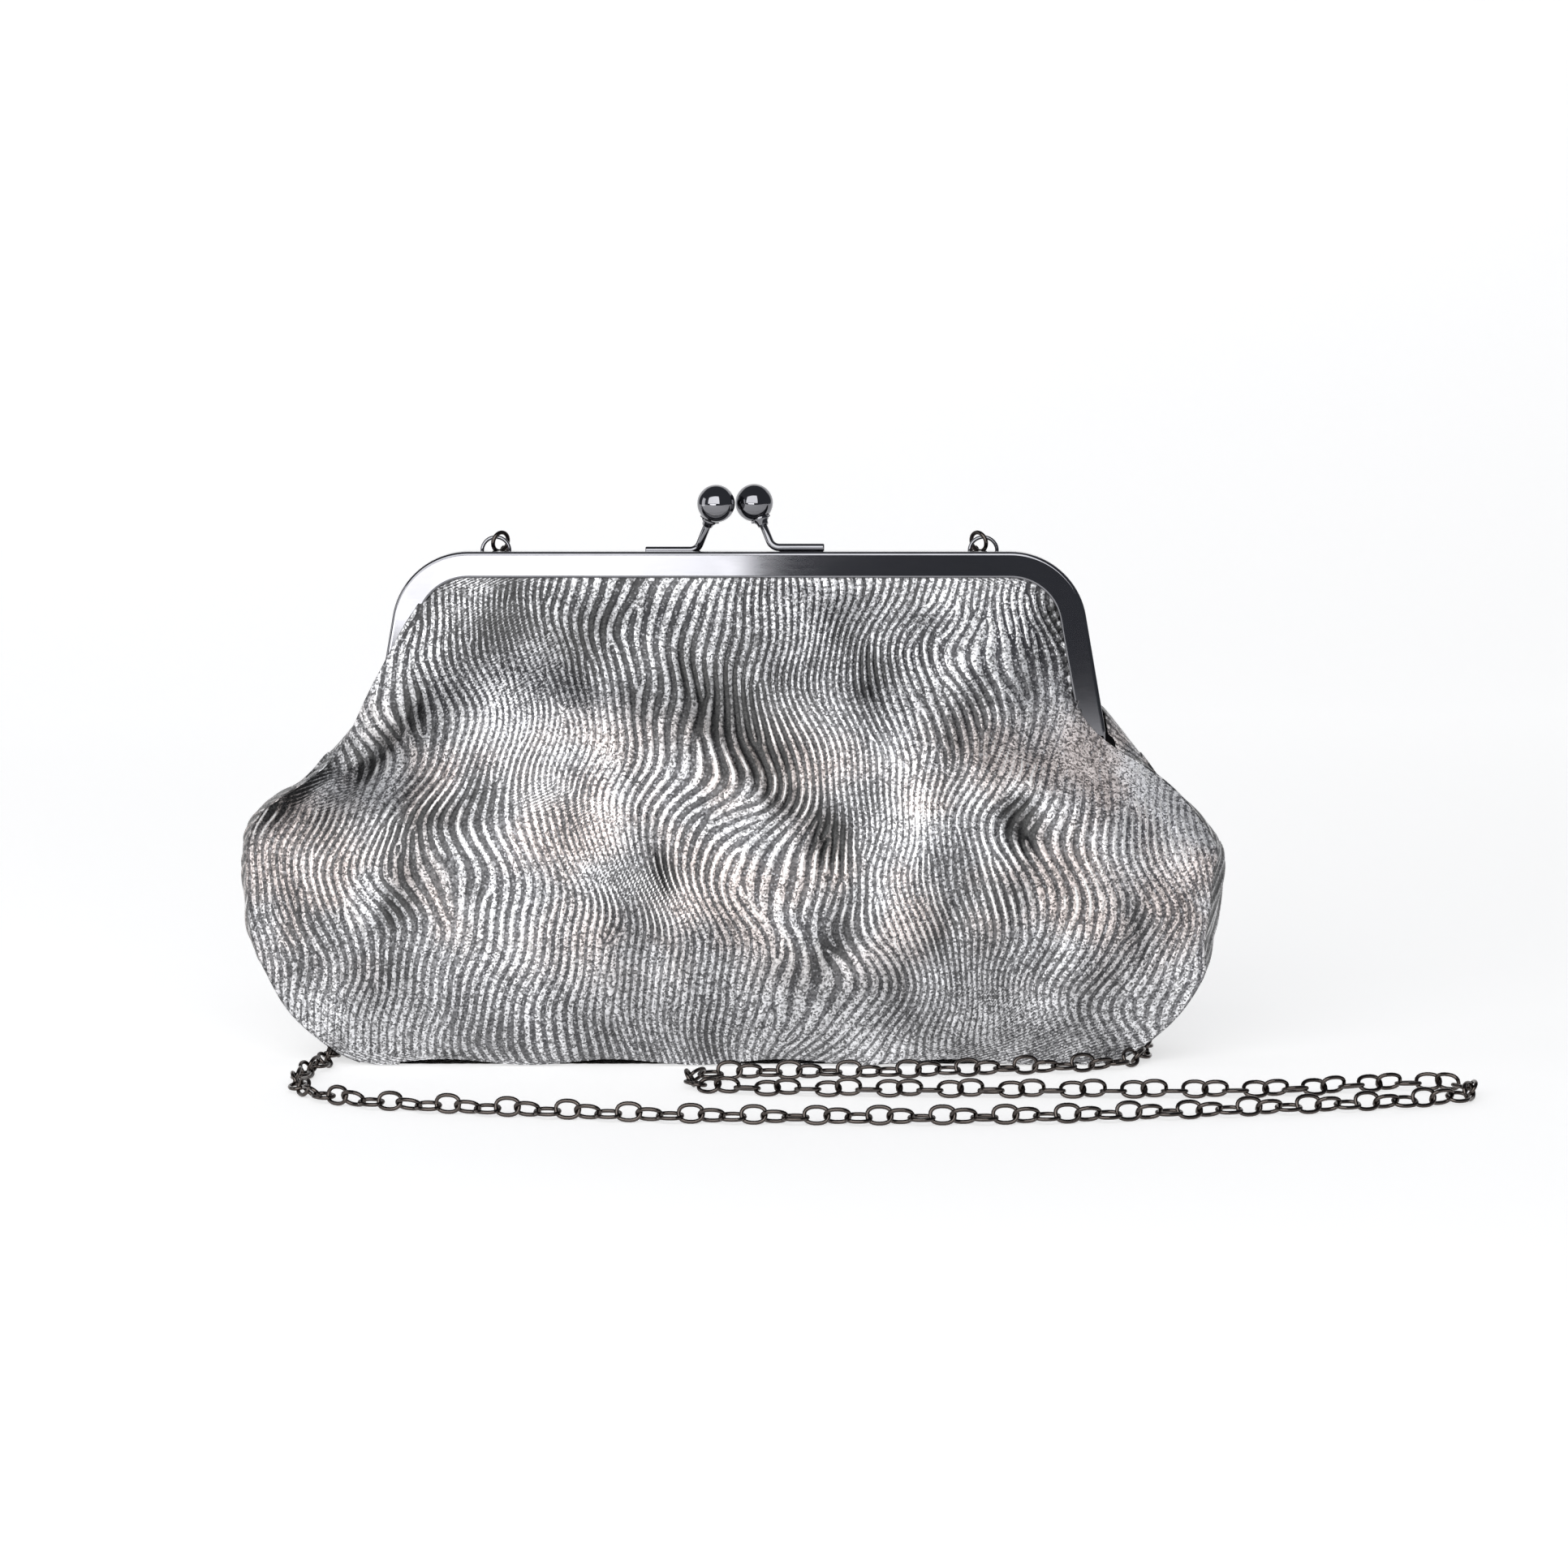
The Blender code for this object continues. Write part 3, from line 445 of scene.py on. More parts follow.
def polished_material(name, colour, roughness):
    """Plated metal: faint polishing streaks and a slightly uneven gloss."""
    material = new_material(name, colour, roughness, 1.0)
    streaks = noise(material, 240.0, 3.0, (1.0, 6.0, 14.0))
    cloud = noise(material, 55.0, 2.0)
    gloss = sums(material, "ADD", ranged(material, streaks, 0.3, 0.7, -0.006, 0.006), roughness)
    gloss = sums(material, "ADD", gloss, ranged(material, cloud, 0.3, 0.7, -0.008, 0.010))
    darker = [0.86 * c for c in colour]
    tone = mixed(material, ranged(material, cloud, 0.35, 0.65), (*colour, 1.0), (*darker, 1.0))
    into_shader(material, Base_Color=tone, Roughness=gloss)
    return material


def woven_material(name, colour, other, roughness, scale, stretch, depth):
    """Plain cloth, card or paper: fine fibres in two tones."""
    material = new_material(name, colour, roughness)
    fibres = noise(material, scale, 4.0, stretch)
    cloud = noise(material, 60.0, 3.0)
    tone = mixed(material, ranged(material, fibres, 0.35, 0.65), (*colour, 1.0), (*other, 1.0))
    darker = [0.6 * c for c in colour]
    tone = mixed(material, ranged(material, cloud, 0.3, 0.7, 0.0, 0.25), tone, (*darker, 1.0))
    rough = ranged(material, cloud, 0.3, 0.7, roughness - 0.06, roughness + 0.06)
    into_shader(material, Base_Color=tone, Roughness=rough, Normal=bump(material, fibres, 0.4, depth))
    return material


# Meshes.


def piece_from(name, points, quads, material):
    mesh = bpy.data.meshes.new(name)
    mesh.vertices.add(len(points))
    mesh.vertices.foreach_set("co", np.asarray(points, np.float32).ravel())
    mesh.loops.add(quads.size)
    mesh.loops.foreach_set("vertex_index", quads.astype(np.int32).ravel())
    mesh.polygons.add(len(quads))
    mesh.polygons.foreach_set("loop_start", np.arange(0, quads.size, 4, dtype=np.int32))
    mesh.update(calc_edges=True)
    mesh.validate()
    mesh.materials.append(material)
    mesh.shade_smooth()
    thing = bpy.data.objects.new(name, mesh)
    bpy.context.collection.objects.link(thing)
    return thing


def grid_quads(rows, columns, round_rows=False, round_columns=False):
    """Corner numbers of the faces of a grid of points, numbered row by row."""
    r = np.arange(rows if round_rows else rows - 1)
    c = np.arange(columns if round_columns else columns - 1)
    r, c = [a.ravel() for a in np.meshgrid(r, c, indexing="ij")]
    after_r, after_c = (r + 1) % rows, (c + 1) % columns
    near, far = r * columns, after_r * columns
    return np.stack([near + c, near + after_c, far + after_c, far + c], 1)


def join_parts(parts):
    """Several (points, quads) put together."""
    points, quads, count = [], [], 0
    for part_points, part_quads in parts:
        points.append(np.asarray(part_points).reshape(-1, 3))
        quads.append(part_quads + count)
        count += len(points[-1])
    return np.concatenate(points), np.concatenate(quads)


def piece_of(name, parts, material):
    return piece_from(name, *join_parts(parts), material)


def unit(vectors):
    vectors = np.asarray(vectors, float)
    return vectors / np.linalg.norm(vectors, axis=-1, keepdims=True)


def carried_frames(path, first_side, closed=False):
    """Two cross directions at each point of a path, carried along it without twisting."""
    path = np.asarray(path, float)
    ahead = np.roll(path, -1, 0) - np.roll(path, 1, 0)
    if not closed:
        ahead[0], ahead[-1] = path[1] - path[0], path[-1] - path[-2]
    ahead = unit(ahead)
    sides = []
    side = np.asarray(first_side, float)
    for direction in ahead:
        side = unit(side - direction * side.dot(direction))
        sides.append(side)
    sides = np.array(sides)
    return ahead, sides, np.cross(ahead, sides)


def wire_part(path, radius, first_side, around=12, closed=False):
    """Round wire along a path. Open ends are closed by a shrunken, slightly domed ring."""
    path = np.asarray(path, float)
    _, side, up = carried_frames(path, first_side, closed)
    radii = np.full(len(path), radius)
    if not closed:
        first, last = unit(path[0] - path[1]), unit(path[-1] - path[-2])
        path = np.concatenate([
            [path[0] + first * radius * 0.30, path[0] + first * radius * 0.22], path,
            [path[-1] + last * radius * 0.22, path[-1] + last * radius * 0.30],
        ])
        side = np.concatenate([side[:1], side[:1], side, side[-1:], side[-1:]])
        up = np.concatenate([up[:1], up[:1], up, up[-1:], up[-1:]])
        radii = np.concatenate([[0.02 * radius, 0.86 * radius], radii, [0.86 * radius, 0.02 * radius]])
    angle = np.linspace(0.0, 2 * np.pi, around, endpoint=False)
    ring = side[:, None] * np.cos(angle)[None, :, None] + up[:, None] * np.sin(angle)[None, :, None]
    points = path[:, None] + ring * radii[:, None, None]
    return points, grid_quads(len(path), around, closed, True)


def turned_part(profile, axis, centre, around=48):
    """Solid of revolution: (radius, height) pairs turned about an axis through a centre."""
    spin = np.array(Vector((0, 0, 1)).rotation_difference(Vector(axis)).to_matrix())
    angle = np.linspace(0.0, 2 * np.pi, around, endpoint=False)
    profile = [(max(radius, 1e-6), height) for radius, height in profile]
    points = [[(r * math.cos(a), r * math.sin(a), h) for a in angle] for r, h in profile]
    points = np.array(points) @ spin.T + np.asarray(centre)
    return points, grid_quads(len(profile), around, False, True)


def smooth_route(points, samples):
    """Catmull-Rom curve through the points, with a number of samples on each stretch."""
    knots = np.array(points, float)
    knots = np.concatenate([[2 * knots[0] - knots[1]], knots, [2 * knots[-1] - knots[-2]]])
    route = []
    for a, b, c, d in zip(knots, knots[1:], knots[2:], knots[3:]):
        for t in np.arange(samples) / samples:
            curve = (2 * a - 5 * b + 4 * c - d) * t**2 + (3 * b - a - 3 * c + d) * t**3
            route.append(0.5 * (2 * b + (c - a) * t + curve))
    route.append(knots[-2])
    return np.array(route)


def evenly(path, count):
    """The path as a number of points spaced evenly along it, and its length."""
    steps = np.linalg.norm(np.diff(path, axis=0), axis=1)
    run = np.concatenate([[0.0], np.cumsum(steps)])
    at = np.linspace(0.0, run[-1], count)
    return np.stack([np.interp(at, run, path[:, k]) for k in range(3)], 1), run[-1]


# Purse frame.


def frame_path(leg_end, corner_steps=20):
    """Outer outline from the right leg's end over the top: points and inward directions in XZ."""
    along = np.array((-math.sin(LEG_SLANT), math.cos(LEG_SLANT)))
    inward = np.array((-math.cos(LEG_SLANT), -math.sin(LEG_SLANT)))
    kink = np.array((FRAME_HALF_WIDTH, LEG_KINK_Z))
    rise = FRAME_TOP - CORNER_RADIUS + CORNER_RADIUS * math.sin(LEG_SLANT) - LEG_KINK_Z
    centre = kink + along * (rise / math.cos(LEG_SLANT)) + inward * CORNER_RADIUS
    points = [np.array((FRAME_HALF_WIDTH, leg_end)), kink]
    normals = [np.array((-1.0, 0.0)), np.array((-1.0, -math.tan(LEG_SLANT / 2)))]
    for share in (0.25, 0.5, 0.75):
        points.append(kink + along * share * rise / math.cos(LEG_SLANT))
        normals.append(inward)
    for step in range(corner_steps + 1):
        angle = LEG_SLANT + (math.pi / 2 - LEG_SLANT) * step / corner_steps
        out = np.array((math.cos(angle), math.sin(angle)))
        points.append(centre + out * CORNER_RADIUS)
        normals.append(-out)
    for share in (0.34, 0.67, 1.0):
        points.append(np.array((centre[0] * (1 - share), FRAME_TOP)))
        normals.append(np.array((0.0, -1.0)))
    points, normals = np.array(points), np.array(normals)
    flip = np.array((-1.0, 1.0))
    return np.concatenate([points, points[-2::-1] * flip]), np.concatenate([normals, normals[-2::-1] * flip])


def frame_edge(height, n):
    """Half-width of the frame's outline, n inside it, at heights given as an array."""
    rise = FRAME_TOP - CORNER_RADIUS + CORNER_RADIUS * math.sin(LEG_SLANT) - LEG_KINK_Z
    centre_x = FRAME_HALF_WIDTH - rise * math.tan(LEG_SLANT) - CORNER_RADIUS * math.cos(LEG_SLANT)
    centre_z = FRAME_TOP - CORNER_RADIUS
    on_arc = centre_x + np.sqrt(np.maximum((CORNER_RADIUS - n) ** 2 - (height - centre_z) ** 2, 0.0))
    on_leg = FRAME_HALF_WIDTH - (height - LEG_KINK_Z) * math.tan(LEG_SLANT) - n / math.cos(LEG_SLANT)
    return np.where(height > centre_z + (CORNER_RADIUS - n) * math.sin(LEG_SLANT), on_arc, on_leg)


def corner_arc(centre, radius, start, stop, steps):
    """Points of an arc in the (n, t) plane, angles in degrees."""
    angles = np.radians(np.linspace(start, stop, steps + 1))
    return [(centre[0] + radius * math.cos(a), centre[1] + radius * math.sin(a)) for a in angles]


def channel_outline():
    """The channel's section as (n, t): rounded outer edge, flat face, thin rounded lip, inside, rear wall."""
    far, near = CHANNEL_FAR, CHANNEL_NEAR
    outline = [(0.0, near + 0.0003), (0.0, far - EDGE_ROUND - 0.0002)]
    outline += corner_arc((EDGE_ROUND, far - EDGE_ROUND), EDGE_ROUND, 180, 90, 7)
    outline += [(EDGE_ROUND + 0.0003, far), (FACE_WIDTH - INNER_ROUND - 0.0003, far)]
    outline += corner_arc((FACE_WIDTH - INNER_ROUND, far - INNER_ROUND), INNER_ROUND, 90, 0, 4)
    outline += [(FACE_WIDTH, far - SHEET + 0.0001), (FACE_WIDTH - 0.0001, far - SHEET)]
    outline += [(SHEET + 0.0002, far - SHEET), (SHEET, far - SHEET - 0.0002)]
    outline += [(SHEET, near + SHEET + 0.0002), (SHEET + 0.0002, near + SHEET)]
    outline += [(REAR_WALL_WIDTH - 0.0001, near + SHEET), (REAR_WALL_WIDTH, near + SHEET - 0.0001)]
    outline += [(REAR_WALL_WIDTH, near + 0.0001), (REAR_WALL_WIDTH - 0.0001, near), (0.0003, near)]
    return outline


def ear_plate(half, side):
    """Plate at a leg's end, where the hinge's rivet goes: round below, square where it meets the channel."""
    outer = FRAME_HALF_WIDTH - INSET[half]
    inner = outer - SHEET
    far = CHANNEL_FAR - SHEET
    rim = np.array([
        (-EAR_RADIUS, 0.0), *corner_arc((0.0, 0.0), EAR_RADIUS, -165, 0, 11),
        (far, EAR_SHOULDER), (far, EAR_TOP), (CHANNEL_NEAR, EAR_TOP), (CHANNEL_NEAR, EAR_RADIUS),
    ])
    middle = rim.mean(axis=0)
    xs = (inner, inner, inner + 0.0001, outer - 0.0001, outer, outer)
    rows = []
    for x, share in zip(xs, (0.02, 0.97, 1.0, 1.0, 0.97, 0.02)):
        y, z = (middle + (rim - middle) * share).T
        rows.append(np.stack([np.full(len(rim), side * x), SIDE_SIGN[half] * y, HINGE_Z + z], 1))
    return np.array(rows), grid_quads(len(rows), len(rim), False, True)


def frame_half(half, material):
    """Visible half of the frame: fine channel and the plates of its two ears."""
    outline, normals = frame_path(CHANNEL_END_Z)
    section = np.array(channel_outline()) + np.array((INSET[half], 0.0))
    points = np.empty((len(outline), len(section), 3))
    points[..., 0] = outline[:, None, 0] + normals[:, None, 0] * section[None, :, 0]
    points[..., 2] = outline[:, None, 1] + normals[:, None, 1] * section[None, :, 0]
    points[..., 1] = SIDE_SIGN[half] * section[None, :, 1]
    channel = points, grid_quads(len(outline), len(section), False, True)
    thing = piece_of(f"{half}_frame_visual", [channel, ear_plate(half, 1), ear_plate(half, -1)], material)
    thing.data.set_sharp_from_angle(angle=math.radians(50.0))
    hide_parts(f"{half}_frame")
    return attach(thing, BODY[half])


# Clasp.


def ball_centre(half):
    return np.array((BALL_X[half], -SIDE_SIGN[half] * BALL_PASS_Y, BALL_Z))


def post_bend(half):
    height = FRAME_TOP - INSET[half] + WIRE_RADIUS
    return np.array((FOOT_BEND_X[half], SIDE_SIGN[half] * CHANNEL_MID, height))


def post_line(half):
    """Foot along the frame's top, round bend, then up to the ball."""
    corner = post_bend(half)
    start = corner + np.array((FOOT_LENGTH if half == "front" else -FOOT_LENGTH, 0.0, 0.0))
    end = ball_centre(half)
    back, ahead = unit(start - corner), unit(end - corner)
    opening = math.acos(float(back.dot(ahead))) / 2
    inward = unit(back + ahead)
    centre = corner + inward * FOOT_BEND_RADIUS / math.sin(opening)
    first = corner + back * FOOT_BEND_RADIUS / math.tan(opening)
    last = corner + ahead * FOOT_BEND_RADIUS / math.tan(opening)
    spoke, other = unit(first - centre), unit(last - centre)
    turn = math.acos(float(spoke.dot(other)))
    square = unit(other - spoke * spoke.dot(other))
    angles = np.linspace(0, turn, 14)
    bend = [centre + FOOT_BEND_RADIUS * (spoke * math.cos(a) + square * math.sin(a)) for a in angles]
    return np.array([start, start * 0.98 + first * 0.02, *bend, end - ahead * BALL_RADIUS * 0.9])


def lock(half, metal):
    """Ball, collar with its two claws, and bent post of one frame half."""
    centre = ball_centre(half)
    axis = post_bend(half) - centre
    profile = corner_arc((0.0, 0.0), BALL_RADIUS, -90, 90, 39)
    ball = piece_of(f"{half}_ball_visual", [turned_part(profile, -axis, centre, 64)], metal)
    low = BALL_RADIUS - 0.0003
    high = BALL_RADIUS + COLLAR_HEIGHT
    profile = [
        (1.0, low), (2.05, low), (2.10, low + 0.0003), (1.95, low + 0.0007),
        (1.55, low + 0.0012), (1.42, high - 0.0002), (1.30, high), (1.0, high),
    ]
    parts = [turned_part([(share * WIRE_RADIUS, height) for share, height in profile], axis, centre, 40)]
    out = unit(axis)
    across = unit(np.cross(out, (0.0, 1.0, 0.0)))
    for sign in (1, -1):
        claw = []
        for angle in np.radians(np.linspace(14, 27, 5)):
            up = out * (BALL_RADIUS * math.cos(angle) + CLAW_LIFT)
            claw.append(centre + up + sign * across * (BALL_RADIUS * math.sin(angle) + CLAW_LIFT))
        parts.append(wire_part(claw, CLAW_RADIUS, (0.0, 1.0, 0.0), 10))
    collar = piece_of(f"{half}_collar_visual", parts, metal)
    collar.data.set_sharp_from_angle(angle=math.radians(60.0))
    wire = wire_part(post_line(half), WIRE_RADIUS, (0, 1, 0), 28)
    post = piece_of(f"{half}_post_visual", [wire], metal)
    post.data.set_sharp_from_angle(angle=math.radians(50.0))
    for thing, cad in ((ball, "lock_ball"), (collar, "lock_collar"), (post, "lock_post")):
        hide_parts(f"{half}_{cad}")
        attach(thing, BODY[half])


# Strap fittings and chain.


def bail_point(side, angle):
    x = BAIL_X - BAIL_HALF_WIDTH * math.cos(angle)
    base = FRAME_TOP - BACK_INSET + BAIL_LEG
    return np.array((side * x, BAIL_Y, base + BAIL_HEIGHT * math.sin(angle)))


def strap_fitting(word, side, metal, ring_metal):
    """Wire arch on the back half's top, and the ring that hangs through it."""
    arch = [bail_point(side, math.pi * k / 24) for k in range(25)]
    drop = np.array((0.0, 0.0, -BAIL_LEG))
    line = [arch[0] + drop, *arch, arch[-1] + drop]
    bail = piece_of(f"{word}_bail_visual", [wire_part(line, BAIL_WIRE, (0, 1, 0), 14)], metal)
    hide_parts(f"chain_bail_{word}")
    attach(bail, "bag")
    rise = BAIL_HEIGHT * math.cos(RING_PLACE)
    axis = unit((BAIL_HALF_WIDTH * math.sin(RING_PLACE), 0.0, side * rise))
    facing = RING_ALONG_WIRE * side * axis + np.array((0.0, math.sqrt(1 - RING_ALONG_WIRE**2), 0.0))
    lean = np.array(RING_LEAN)
    lean = unit(lean - facing * lean.dot(facing))
    other = np.cross(facing, lean)
    centre = bail_point(side, RING_PLACE) - lean * RING_HANG
    angles = np.linspace(0, 2 * np.pi, 40, endpoint=False)
    loop = [centre + RING_MAJOR * (lean * math.cos(a) + other * math.sin(a)) for a in angles]
    ring = piece_of(f"{word}_ring_visual", [wire_part(loop, RING_WIRE, facing, 14, True)], ring_metal)
    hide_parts(f"jump_ring_{word}")
    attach(ring, f"{word}_ring")


def oval_link():
    """Middle line of one link: flat-sided oval in the XY plane."""
    angles = np.linspace(0.0, 2 * np.pi, 22, endpoint=False)
    x = LINK_HALF_LENGTH * np.sign(np.cos(angles)) * np.abs(np.cos(angles)) ** 0.86
    y = LINK_HALF_WIDTH * np.sign(np.sin(angles)) * np.abs(np.sin(angles)) ** 0.80
    return x, y


def chain(metal):
    """Separate oval links, each turned a third of a half-turn from the one before."""
    ends = [np.array(RING_END) * np.array((side, 1.0, 1.0)) for side in (-1.0, 1.0)]
    route = smooth_route([ends[0], *CHAIN_ROUTE, ends[1]], 12)
    route[:, 2] += FLOOR_LIFT * (route[:, 2] < ON_FLOOR)
    _, length = evenly(route, 400)
    count = int(round(length / LINK_PITCH))
    joints, _ = evenly(route, count + 1)
    middle = len(joints) // 2
    up = np.zeros_like(joints)
    ahead_all = unit(np.diff(joints, axis=0))
    for order in (range(middle, count), range(middle - 1, -1, -1)):
        reference = np.array((0.0, 0.0, 1.0))
        for i in order:
            reference = unit(reference - ahead_all[i] * reference.dot(ahead_all[i]))
            up[i] = reference
    random = np.random.default_rng(5)
    x, y = oval_link()
    parts = []
    for i in range(count):
        ahead = ahead_all[i]
        across = np.cross(up[i], ahead)
        roll = LINK_FIRST_ROLL + LINK_TWIST * (i - middle) + random.normal(0.0, 0.10)
        flat = across * math.cos(roll) + up[i] * math.sin(roll)
        centre = (joints[i] + joints[i + 1]) / 2
        if centre[2] < ON_FLOOR:
            lowest = LINK_HALF_WIDTH * abs(math.sin(roll)) + LINK_WIRE
            centre = centre + np.array((0.0, 0.0, max(lowest, LEAST_LIFT) + 0.00005 - centre[2]))
        loop = centre + x[:, None] * ahead + y[:, None] * flat
        parts.append(wire_part(loop, LINK_WIRE, np.cross(ahead, flat), 8, True))
    thing = piece_of("chain_links", parts, metal)
    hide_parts("chain_strap")
    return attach(thing, "bag")


# Pouch.


def smooth_step(value):
    t = np.clip(value, 0.0, 1.0)
    return t * t * (3.0 - 2.0 * t)


def table_at(table, height):
    """Value at each height, read from (height, value) pairs whose corners are rounded off."""
    heights, values = zip(*table)
    shifts = np.linspace(-CORNER_BLUR, CORNER_BLUR, 7)
    return np.mean([np.interp(height + shift, heights, values) for shift in shifts], axis=0)


def swell(value):
    return np.sin(np.pi / 2 * np.clip(value, 0.0, 1.0))


def rim_x(half, side, height):
    """Half-width of a panel's rim: the seam's below the hinge, and just under the frame's face above it."""
    joins = RIM_JOINS_FRAME[half, side]
    above = frame_edge(height, RIM_UNDER_FACE + INSET[half])
    joining_x = float(frame_edge(np.array(joins), RIM_UNDER_FACE + INSET[half]))
    near_floor = np.interp(height, *zip(*RIM_X[half, side]))
    below = table_at([*RIM_X[half, side], (joins, joining_x)], height)
    below = near_floor + (below - near_floor) * smooth_step((height - 0.004) / 0.006)
    if half == "front" and side == 1:
        half_way_up = smooth_step((height - 0.024) / 0.012) * smooth_step((0.062 - height) / 0.010)
        below = below - GUSSET_SHOWS * half_way_up
    share = smooth_step((height - joins + 0.0030) / 0.0030)
    return below + (above - below) * share


def rim_y(half, side, height):
    """How far a panel's rim stands from the middle plane."""
    joins = RIM_JOINS_FRAME[half, side]
    seam = table_at(GUSSET_HALF, height) + 0.0006
    over = 0.0056 if half == "front" else 0.0050
    tucked = 0.0040
    rise = smooth_step((height - 0.072) / 0.016)
    low = seam * (1 - rise) + over * rise
    return low + (tucked - low) * smooth_step((height - (joins - 0.0045)) / 0.0045)


def fork_phase(x, z, forks):
    """Turns of phase that start one extra stripe at a point and end it at another."""
    phase = np.zeros_like(x)
    for start_x, start_z, end_x, end_z, sign in forks:
        phase += sign * (np.arctan2(z - start_z, x - start_x) - np.arctan2(z - end_z, x - end_x))
    return phase


def nearest_fork(forks, x, z):
    return min(forks, key=lambda fork: math.hypot(fork[0] - x, (fork[1] + fork[3]) / 2 - z))


def stripes(x, z, seed):
    """Phase of the wavy ribs at places on a panel."""
    random = np.random.default_rng(seed)
    drift = 0.0034 * np.sin(2 * np.pi * z / 0.056 + 1.3 * np.sin(2 * np.pi * x / 0.150 + 0.6) + 0.9)
    drift += 0.0011 * np.sin(2 * np.pi * z / 0.037 + 2.0 * np.sin(2 * np.pi * x / 0.105 + 2.0) + 2.6)
    drift += 0.0005 * np.sin(2 * np.pi * z / 0.021 + 6.0 * x / 0.070)
    drift += 0.0020 * np.sin(2 * np.pi * x / 0.071 + 2 * np.pi * z / 0.140)
    drift += 0.0042 * np.sin(2 * np.pi * x / 0.098 + 1.2 + 2 * np.pi * z / 0.230)
    forks = []
    for _ in range(FORKS):
        start_x, start_z = random.uniform(-0.132, 0.132), random.uniform(0.004, 0.132)
        slip, run = random.normal(0.0, 0.0016), random.uniform(0.010, 0.034)
        sign = 1 if random.random() < 0.5 else -1
        if forks:
            sign = -nearest_fork(forks, start_x, start_z + run / 2)[4]
        forks.append((start_x, start_z, start_x + slip, start_z + run, sign))
    return 2 * np.pi * (x + drift) / STRIPE_PITCH + fork_phase(x, z, forks)


def add_folds(x, z, folds):
    """Outward height and painted shade or light of all the soft folds at places on a panel."""
    height, shade = np.zeros_like(x), np.zeros_like(x)
    for fold_x, fold_z, long, wide, lean, out, dark in folds:
        angle = math.radians(lean)
        along = (z - fold_z) * math.cos(angle) - (x - fold_x) * math.sin(angle)
        across = (x - fold_x) * math.cos(angle) + (z - fold_z) * math.sin(angle)
        bell = np.exp(-((along / long) ** 2) - (across / wide) ** 2)
        height += FOLD_DEPTH * out * bell
        # painted shade in the folds' hollows, painted light on their swells
        shade += FOLD_PAINTED_SHADE * dark * bell
    return height, shade


def surface_normals(points, outward_y):
    normal = unit(np.cross(np.gradient(points, axis=1), np.gradient(points, axis=0)))
    return normal * np.sign(normal[..., 1:2].mean() * outward_y)


def set_weave_and_shade(thing, phase, shade):
    """Store the ribs' phase, as its cosine and sine, and the painted shade or light on the cloth."""
    data = np.stack([np.cos(phase), np.sin(phase), shade], -1).reshape(-1, 3).astype(np.float32)
    weave_and_shade = thing.data.attributes.new("weave_and_shade", "FLOAT_VECTOR", "POINT")
    weave_and_shade.data.foreach_set("vector", data.ravel())


def panel_base(half, heights, across):
    """Smooth shape of a panel without ribs: points, and how far each place is from being held at the rim."""
    z, u = np.meshgrid(heights, across, indexing="ij")
    left, right = -rim_x(half, -1, z), rim_x(half, 1, z)
    x = left + (right - left) * (u + 1) / 2
    free = np.ones_like(x)
    for side, edge in ((-1, left), (1, right)):
        inside = smooth_step((z - RIM_JOINS_FRAME[half, side] + 0.022) / 0.026)
        margin = 0.0024 * smooth_step((z - RIM_JOINS_FRAME[half, side] + 0.001) / 0.003)
        reach = SHOULDER_REACH + (FRAME_REACH - SHOULDER_REACH) * inside
        free *= swell((np.abs(x - edge) - margin) / reach)
    rim_depth = rim_y(half, -1, z) * (1 - u) / 2 + rim_y(half, 1, z) * (1 + u) / 2
    crown = table_at(SIDE_PROFILE, z)
    depth = rim_depth + (crown - rim_depth) * free
    return np.stack([x, SIDE_SIGN[half] * depth, z], -1), free


